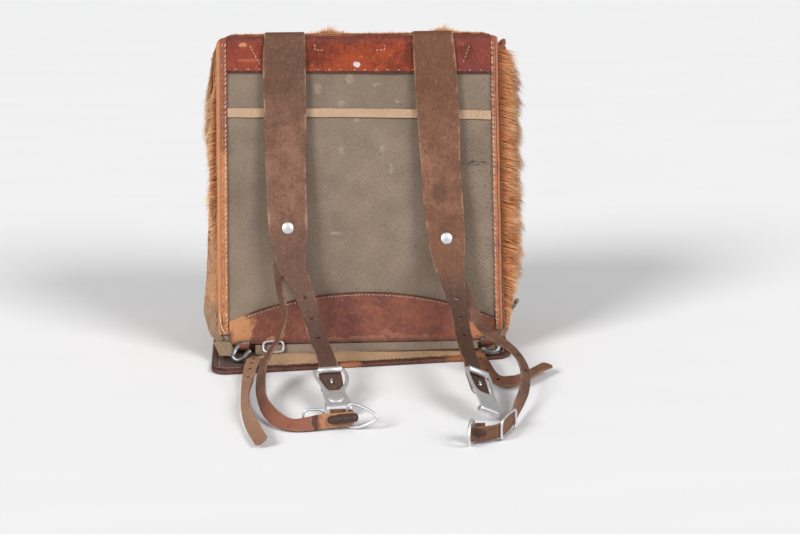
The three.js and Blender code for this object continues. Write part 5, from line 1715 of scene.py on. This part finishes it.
def rows_behind(rows, width):
    """First rows of an auxiliary strap, which lie behind the shoulder strap at its rivet."""
    at = np.array([RIVET_ROW - 0.32, RIVET_ROW, RIVET_ROW + 0.45])
    centre, _, face, _ = strap_frame(rows, at)
    return np.hstack([centre - face * (STRAP + 2 * SEAM_GAP), np.full((3, 1), width), face])


AUX = {
    "left": np.array([
        [-95, -55.5, 119, 17, -0.4, -0.9, 0.2],
        [-97, -69, 97, 16, -0.85, -0.4, 0.2],
        [-91, -101, 66, 16, -0.95, -0.15, 0.25],
        [-95, -123, 57, 16, -0.9, -0.15, 0.4],
        [-101, -137, 49, 16, -0.85, -0.15, 0.5],
        [-109, -152, 41, 16, -0.8, -0.2, 0.6],
        [-117, -171, 31, 16, -0.75, -0.2, 0.62],
        [-120, -199, 21, 16, -0.75, -0.2, 0.6],
        [-117, -240, 14, 16, -0.85, -0.3, 0.4],
        [-112, -260, 11.5, 16, -0.8, -0.35, 0.5],
        [-104, -278, 9, 16, -0.65, -0.35, 0.65],
        [-94, -289.5, 7, 16, -0.4, -0.45, 0.8],
        [-84, -293.5, 6.4, 16, -0.15, -0.55, 0.82],
        [-68, -294.5, 8, 16, 0, -0.8, 0.6],
        [-50, -295, 11, 16, 0, -0.98, 0.15],
        [-27, -294, 12.6, 16, 0.1, -1, 0],
        [-22, -289.8, 12.6, 16, 1, 0, 0],
        [-27, -285.6, 12.6, 16, 0, 1, 0],
        [-46, -286, 12.6, 16, 0, 1, 0],
    ]),
    "right": np.array([
        [106, -64.5, 108, 17, 0.2, -0.95, 0.25],
        [117, -76, 86, 16, 0.3, -0.85, 0.4],
        [131, -103, 59, 16, 0.35, -0.7, 0.6],
        [142.5, -122, 49, 16, 0.35, -0.6, 0.7],
        [155, -135, 42.5, 16, 0.35, -0.5, 0.8],
        [166, -149, 37, 16, 0.45, -0.35, 0.8],
        [173, -168, 32, 16, 0.6, -0.25, 0.75],
        [175, -189, 27.5, 16, 0.65, -0.2, 0.72],
        [173.5, -209, 23.5, 16, 0.75, -0.15, 0.62],
        [169.5, -230, 19.5, 16, 0.8, -0.2, 0.52],
        [163.5, -252, 16.5, 16, 0.85, -0.3, 0.35],
        [155.5, -276, 14, 16, 0.86, -0.42, 0.2],
        [147.5, -301, 12, 16, 0.88, -0.46, 0.05],
        [137.5, -323, 11, 16, 0.88, -0.47, 0],
        [127, -339.5, 12, 16, 0.6, -0.8, 0],
        [112, -346.5, 12.6, 16, 0.1, -1, 0],
        [102, -347.4, 12.6, 16, 0, -1, 0],
        [96.6, -342.4, 12.6, 16, -1, 0, 0],
        [102, -337.4, 12.6, 16, 0, 1, 0],
        [114, -336.6, 12.6, 16, 0, 1, 0],
    ]),
}
BILLET = {
    "left": np.array([
        [-115, -53, 4.7, 16, 0, 0, 1],
        [-118, -62, 5.6, 16, 0, -0.1, 1],
        [-125.5, -76, 8.6, 16, 0, -0.1, 1],
        [-130, -98, 10, 16, -0.1, -0.1, 1],
        [-132.5, -127, 10.2, 16, -0.3, -0.15, 0.94],
        [-135, -171, 9.8, 16, -0.6, -0.15, 0.78],
        [-137, -210, 9.8, 16, -0.8, -0.15, 0.58],
        [-136.5, -242, 9.8, 16, -0.85, -0.2, 0.5],
        [-133, -276, 9.6, 16, -0.78, -0.3, 0.55],
        [-127, -307, 9, 16, -0.6, -0.3, 0.74],
        [-118.5, -344, 8, 16, -0.5, -0.3, 0.8],
    ]),
    "right": np.array([
        [130, -52, 4.7, 17, 0, 0, 1],
        [131, -60, 6.5, 17, 0, 0.2, 0.98],
        [132, -70, 8.4, 17, 0, 0.2, 0.98],
        [133.5, -88, 10, 17, 0, -0.05, 1],
        [136.5, -122, 11, 17, 0, -0.25, 0.97],
        [139.5, -150, 10.2, 17, 0, -0.3, 0.95],
        [145, -171, 10, 17, 0, -0.34, 0.93],
        [155, -179.5, 10, 17, 0, -0.36, 0.92],
        [167, -175.5, 10, 17, -0.05, -0.3, 0.94],
        [179, -164, 9.6, 17, -0.1, -0.15, 0.97],
        [192, -147.5, 9.6, 17, -0.15, -0.1, 0.97],
        [205, -133, 10, 17, -0.2, -0.15, 0.96],
        [212, -126.5, 10.4, 17, -0.2, -0.3, 0.92],
    ]),
}
# Row numbers along the straps where they are punched
STRAP_HOLES = {"left": [9.6, 10.5, 11.4, 16], "right": [9.6, 10.5, 11.4, 16]}
AUX_HOLES = {"left": [], "right": [8.6, 10.2]}
BILLET_HOLES = {"left": [2.4, 3.1, 3.8, 4.5], "right": [2.25, 3.5, 4.75, 6.3]}


def strap_pieces():
    """Shoulder straps, auxiliary straps and billets, with their holes."""
    for seed, label in enumerate(("left", "right")):
        shoulder = SHOULDER[label]
        behind = np.vstack([rows_behind(shoulder, AUX_WIDTH), AUX[label]])
        billet_slot = "tan_leather" if label == "left" else "strap_leather"
        for name, node, rows, first_seed, tip, finish, slot, holes in (
            ("shoulder", "shoulder_strap", shoulder, 110, 7, SHOULDER_LEATHER, "strap_leather", STRAP_HOLES),
            ("aux", "aux_strap", behind, 120, 0, AUX_LEATHER, "strap_leather", AUX_HOLES),
            ("billet", "billet", BILLET[label], 130, 4, BILLET_LEATHER, billet_slot, BILLET_HOLES),
        ):
            shape = strap(rows, seed=first_seed + seed, tip=tip)
            piece = put(f"{name}_leather_{label}", shape, finish[label], [f"{node}_{label}"])
            if holes[label]:
                centre, _, face, _ = strap_frame(rows, np.array(holes[label], float))
                punch(piece, centre, face, HOLE_RADIUS)


# Metal

HOOK_PLATE = 2.4
HOOK_PLATE_START = 36
HOOK_PLATE_END = 60
HOOK_STUD_ALONG = 17
# Frame of each strap hook: outer and inner outline in its own plane, pair by pair
HOOK_OUTLINES = {
    "left": np.array([
        [0, -1.9, 0, 1.1], [13, -1.9, 12, 1.1], [18.6, -0.4, 14.6, 2.4], [19.2, 6, 15.4, 7],
        [17.2, 15, 13.4, 15], [13.8, 25, 10.2, 24], [11.6, 34, 7.6, 31.5], [9, 41, 4.6, 35.2],
        [0, 42, 0, 36], [-9, 41, -5.6, 35.2], [-13.8, 34, -9.4, 31], [-17.2, 27, -13, 25],
        [-19, 18, -14.8, 17], [-18.6, 8, -15, 8], [-15.8, 0.5, -13.4, 2.4], [-13, -1.9, -12, 1.1],
    ], float),
    "right": np.array([
        [0, -1.9, 0, 1.1], [13, -1.9, 12, 1.1], [17.4, 0.2, 13.8, 2.4], [17.6, 8, 14, 8],
        [16.6, 18, 13, 17], [15.6, 28, 11.6, 26], [15, 37, 9, 32.5], [9, 41, 5, 34.6],
        [0, 42, 0, 35], [-9, 41, -5, 34.6], [-12.6, 36, -9, 32.5], [-14.6, 27, -11.6, 26],
        [-15.8, 18, -13, 17], [-16.4, 8, -13.4, 8], [-15.6, 0.5, -13, 2.4], [-13, -1.9, -12, 1.1],
    ], float),
}
# Plate of each hook: width and shift where it leaves the frame and at its bend, boss radius, fold radius, tip
HOOK_PLATES = {"left": (25, 0, 27, -3.5, 9.4, 4.4, 41), "right": (28, 0, 26, -1.5, 0, 3.0, 52)}
HOOK_BOSS_ALONG = 46.5
BOSS_PROFILE = np.array([[1, -0.6], [0.98, 0.5], [0.88, 1.1], [0.66, 1.5], [0.35, 1.7], [0.04, 1.75]])
# Sleeve on the hook's top bar: place along it and radius
ROLLER_SECTION = np.array([[-13, 2.3], [-13, 3.3], [-12.5, 3.6], [12.5, 3.6], [13, 3.3], [13, 2.3]])


def hook_body(label, hook):
    """Frame as a rounded bar between two outlines, a plate folded under as a hook, and a boss."""
    outlines = HOOK_OUTLINES[label]
    wide_start, shift_start, wide_bend, shift_bend, boss_radius, fold, tip = HOOK_PLATES[label]
    outline = curve_through(outlines, np.linspace(0, len(outlines), 128, endpoint=False), closed=True)
    outer, inner = outline[:, :2], outline[:, 2:]
    angle = np.linspace(0, TAU, 12, endpoint=False)
    squared = stacked(np.cos(angle), np.sin(angle))
    squared = squared / np.maximum(np.abs(squared).max(axis=1, keepdims=True), 0.86)
    across = (outer + inner)[:, None] / 2 + (outer - inner)[:, None] / 2 * squared[None, :, :1]
    high = np.broadcast_to(squared[None, :, 1:] * HOOK_PLATE / 2 * 1.1, (*across.shape[:2], 1))
    frame_bar = skin(in_hook(hook, np.concatenate([across, high], axis=-1)), looped=True)
    turn = np.linspace(math.pi / 2, -math.pi / 2, 18)
    path = np.vstack([
        stacked(np.linspace(HOOK_PLATE_START, HOOK_PLATE_END, 16)[:-1], 0),
        stacked(HOOK_PLATE_END + fold * np.cos(turn), fold * (np.sin(turn) - 1)),
        stacked(np.linspace(HOOK_PLATE_END, tip, 12)[1:], -2 * fold),
    ])
    down = ease(path[:, 0], HOOK_PLATE_START, HOOK_PLATE_END)
    local = stacked(mix(shift_start, shift_bend, down), path[:, 0], path[:, 1])
    heading = np.gradient(path, axis=0)
    normal = unit(stacked(0, -heading[:, 1], heading[:, 0]))
    far = run_length(path)
    half = mix(wide_start, wide_bend, down) / 2 - 4 * ease(far, far[-1] - 6, far[-1])
    over = np.tile(hook[0][0], (len(path), 1))
    plate = ribbon(in_hook(hook, local), over, normal @ hook[0], half, HOOK_PLATE, edge=1.0, flat=13)
    if not boss_radius:
        return join(frame_bar, plate)
    seat = in_hook(hook, (-1.5, HOOK_BOSS_ALONG, HOOK_PLATE / 2 - 0.2))
    return join(frame_bar, plate, lathe(BOSS_PROFILE * [boss_radius, 1], seat, hook[0][2], 36))


def hook_roller(hook):
    """Rolled sheet sleeve on the frame's top bar: a hollow tube with softened ends."""
    angle = np.linspace(0, TAU, 28, endpoint=False)[:, None]
    along, radius = ROLLER_SECTION.T[:, None]
    local = stacked(along, radius * np.cos(angle) - 0.2, radius * np.sin(angle))
    return skin(in_hook(hook, local), looped=True)


STUD_BAR = [[0, 13.4, -1.9], [0.15, 15.5, -1.8], [0.15, 18.5, -1.8], [0, 20.6, -1.9]]
STUD_BAR_RADIUS = 1.5
STUD_PROFILE = [
    [0.4, -3.2], [4.6, -3.1], [5, -2.6], [5, -1.9], [1.6, -1.8], [1.6, 2.6], [1.2, 3.4], [0.3, 3.7],
]
RIVET_HEAD = 7
RIVET_SHANK = 2.2
RIVET_BURR = 5
BEHIND_BOTH = -STRAP * 1.5 - 3 * SEAM_GAP
HEAD_SEAT = STRAP / 2 + 0.1
RIVET_PROFILE = [
    [0.4, BEHIND_BOTH - 1.3], [RIVET_BURR - 0.5, BEHIND_BOTH - 1.2], [RIVET_BURR, BEHIND_BOTH - 0.8],
    [RIVET_BURR, BEHIND_BOTH], [RIVET_SHANK, BEHIND_BOTH], [RIVET_SHANK, HEAD_SEAT],
    [RIVET_HEAD - 0.3, HEAD_SEAT], [RIVET_HEAD, HEAD_SEAT + 0.4], [RIVET_HEAD * 0.94, HEAD_SEAT + 1.0],
    [RIVET_HEAD * 0.78, HEAD_SEAT + 1.6], [RIVET_HEAD * 0.5, HEAD_SEAT + 2.1],
    [RIVET_HEAD * 0.2, HEAD_SEAT + 2.35], [0.3, HEAD_SEAT + 2.4],
]
WIRE = 1.8
BUCKLE_WIRE = 1.4
HOOK_WIRE = 3.0
STUD_WIRE = 2.6
WIRE_LOOPS = {
    "wire_loop_left": [
        [-26, -289.8, 3.2], [-26, -289.8, 26], [-18, -290.4, 26.6], [3, -299, 15], [-17, -294, 3],
    ],
    "wire_loop_right": [
        [100.6, -343.6, 3.4], [100.6, -343.6, 26], [97, -351, 26.6], [94.5, -361, 15], [97, -351, 3],
    ],
}
BUCKLES = {
    "aux_buckle_left": [
        [-74, -286, 6], [-74, -286, 17.5], [-71.5, -286, 20], [-55.5, -286, 20],
        [-53, -286, 17.5], [-53, -286, 6], [-55.5, -286, 3.4], [-71.5, -286, 3.4],
    ],
    "aux_buckle_right": [
        [131.3, -340.1, 6], [131.3, -340.1, 21], [132.5, -337.9, 23.5], [148.9, -307.6, 23.5],
        [150.1, -305.4, 21], [150.1, -305.4, 6], [148.9, -307.6, 3.4], [132.5, -337.9, 3.4],
    ],
    "closing_buckle_left": [
        [-112, -63.8, 24.5], [-98, -63.8, 24.5], [-94, -64.6, 23.2], [-94, -71, 16.6],
        [-97, -72.6, 15], [-113, -72.6, 15], [-116, -71, 16.6], [-116, -64.6, 23.2],
    ],
}
# Bent wire of each corner hook
CORNER_HOOKS = {
    "left": [
        [-132, -67, 24], [-140, -68.3, 24], [-145.5, -70.5, 21.8], [-150, -74, 17], [-151.5, -79, 11.8],
        [-147, -82.5, 8.9], [-141, -82, 10.9], [-136, -78.5, 15], [-131, -75.5, 18.6],
    ],
    "right": [
        [139, -67, 22.5], [147, -67.6, 24.4], [154, -69.5, 23.5], [158.5, -73, 19.5], [158, -78, 14],
        [151, -80.5, 11.9], [143.5, -79, 13.6], [139.5, -77, 17],
    ],
}
CORNER_PLACES = {"left": -140, "right": 147}
# Folded tab that carries a corner hook: y, z and the way its face looks in y and z
TAB_FOLD = np.array([
    [-64.6, 26, -1, 0.1], [-63.9, 22.5, -1, 0], [-65.2, 18.9, -0.7, 0.7], [-68.2, 17.6, 0, 1],
    [-71.2, 18.9, 0.7, 0.7], [-72.4, 22.5, 1, 0], [-71.5, 25.5, 1, 0],
])
TAB_WIDTH = 13
TAB_LEATHER_THICK = 1.8
CORNER_TAB = np.array([
    [165, 0, 340, 10, 0.7, -0.7, 0],
    [166, 1.5, 350, 13, 0.6, -0.8, -0.1],
    [167.5, 2.5, 357, 12, 0.5, -0.85, -0.2],
    [167, 3, 361, 8, 0.3, -0.9, -0.2],
    [168.5, 3, 365, 10, 0.6, -0.8, 0],
    [170, 3.5, 368.5, 5, 0.8, -0.6, 0],
])
END_ROLL = [
    [-49, -297.4, 12.6], [-43, -298.6, 13.4], [-32, -299, 14.6], [-22, -298.6, 15.2], [-16.5, -297, 15.4],
]
END_ROLL_RADIUS = 4.8
SIDE_STUD = [[168, -22, 34], [176, -26, 43], [182, -28, 51], [188, -30, 61]]
# Small ring at the foot: across, height, its radius and its wire's
SMALL_RING = (138, 3.5, 4.2, 0.75)


def tab_rows(middle):
    """Rows of a corner hook's leather tab."""
    count = len(TAB_FOLD)
    x, wide, face_x = np.full((count, 1), middle), np.full((count, 1), TAB_WIDTH), np.zeros((count, 1))
    return np.hstack([x, TAB_FOLD[:, :2], wide, face_x, TAB_FOLD[:, 2:]])


def metal_pieces():
    """Hooks, rivets, loops, buckles and corner hooks, with the small leather tabs."""
    for label, hook in HOOKS.items():
        put(f"hook_{label}", hook_body(label, hook), ZINC, [f"strap_hook_{label}"])
        put(f"roller_{label}", hook_roller(hook), ZINC, [f"hook_roller_{label}"])
        seat = in_hook(hook, (0, HOOK_STUD_ALONG, HOOK_STRAP_DEPTH))
        stem = lathe(STUD_PROFILE, seat, hook[0][2], 20)
        bar = tube(in_hook(hook, STUD_BAR), STUD_BAR_RADIUS, False, 24, 10)
        put(f"stud_{label}", join(stem, bar), ZINC, [f"hook_stud_{label}"])
        centre, _, face, _ = strap_frame(SHOULDER[label], np.array([RIVET_ROW], float))
        rivet = lathe(RIVET_PROFILE, centre[0], face[0], 32)
        put(f"strap_rivet_{label}", rivet, ZINC, [f"rivet_{label}"])
    for node, points in WIRE_LOOPS.items():
        put(f"{node}_bent", tube(points, WIRE, True, 72), ZINC, [node])
    for node, points in BUCKLES.items():
        put(f"{node}_bent", tube(points, BUCKLE_WIRE, True, 80), ZINC, [node])
    for seed, (label, middle) in enumerate(CORNER_PLACES.items()):
        bent = tube(CORNER_HOOKS[label], HOOK_WIRE, False, 90, 14)
        put(f"corner_hook_{label}_bent", bent, DARK_STEEL, [f"corner_hook_{label}"])
        tab = strap(tab_rows(middle), TAB_LEATHER_THICK, 8, 140 + seed, 0.2)
        put(f"hook_tab_{label}_folded", tab, TAB_LEATHER, [f"hook_tab_{label}"])
    roll = tube(END_ROLL, END_ROLL_RADIUS, False, 60, 24)
    x, _, z = roll.points.T
    roll.points[:, 1] += 0.7 * ripples(x, z, 9, 160) + 0.4 * ripples(x, z, 4, 161)
    roll.points[:, 2] += 0.8 * ripples(x, z, 12, 162)
    put("strap_end_roll", roll, DARK_ROLL_LEATHER)
    put("side_stud", tube(SIDE_STUD, STUD_WIRE, False, 40, 14), DARK_STEEL)
    x, height, radius, wire = SMALL_RING
    turn = np.linspace(0, TAU, 12, endpoint=False)
    ring = on_panel(x + radius * np.cos(turn), height + radius * np.sin(turn), 2.2 + 2.6 * np.cos(turn + 0.6))
    put("small_ring", tube(ring, wire, True, 40, 8), BRASS)
    tab = strap(CORNER_TAB, STRAP, 12, 150, 0.4)
    put("corner_tab", tab, CORNER_TAB_LEATHER, ["corner_tab_right"])


# Floor, light and camera

FLOOR_HALF = 7.0
FLOOR_DROP = 0.0002
FLOOR_CORNERS = ((-1, -1), (1, -1), (1, 1), (-1, 1))
FLOOR_SHADES = (shade(230, 230, 231, 1), shade(234, 234, 235, 1))
SKY_STRENGTH = 0.3
# Lights: the way towards each, its power and the angle it spreads over
LIGHTS = {
    "key_light": ((-0.62, -0.55, 0.56), 2.5, 22),
    "fill_light": ((0.60, -0.55, 0.58), 2.05, 26),
}


def studio():
    """Pale floor, soft white surroundings and two broad lights, the stronger from the left front."""
    mesh = bpy.data.meshes.new("floor")
    mesh.from_pydata([(FLOOR_HALF * x, FLOOR_HALF * y, 0) for x, y in FLOOR_CORNERS], [], [(0, 1, 2, 3)])
    made = Finish("pale_floor", Roughness=0.7, Specular_IOR_Level=0.1)
    faint = made.noise(made.stretch(made.place(), (0.2, 1, 1)), 60, 3.0)
    made.link(made.blend(faint, *FLOOR_SHADES), "Base Color")
    mesh.materials.append(made.material)
    floor = linked("floor", mesh)
    floor.location = (0, 0, -FLOOR_DROP)
    scene = bpy.context.scene
    scene.view_settings.view_transform = "Standard"
    scene.world = bpy.data.worlds.new("soft_surroundings")
    scene.world.use_nodes = True
    sky = scene.world.node_tree.nodes["Background"]
    sky.inputs["Color"].default_value = (1.0, 1.0, 1.0, 1)
    sky.inputs["Strength"].default_value = SKY_STRENGTH
    for name, (towards, power, spread) in LIGHTS.items():
        data = bpy.data.lights.new(name, "SUN")
        data.energy = power
        data.angle = math.radians(spread)
        lamp = linked(name, data)
        lamp.rotation_euler = (-Vector(towards)).to_track_quat("-Z", "Y").to_euler()


def view_camera():
    """Camera at the view's place, looking slightly down on the wearer's side."""
    data = bpy.data.cameras.new("view_camera")
    data.lens = CAMERA_LENS
    data.sensor_width = CAMERA_SENSOR
    camera = linked("view_camera", data)
    turn = CAMERA_LOOK.to_track_quat("-Z", "Y").to_matrix().to_4x4()
    camera.matrix_world = Matrix.Translation(CAMERA_PLACE) @ turn @ Matrix.Rotation(CAMERA_ROLL, 4, "Z")
    bpy.context.scene.camera = camera


view_camera()
cloth_pieces()
leather_pieces()
flap_pieces()
tongue_pieces()
strap_pieces()
metal_pieces()
studio()
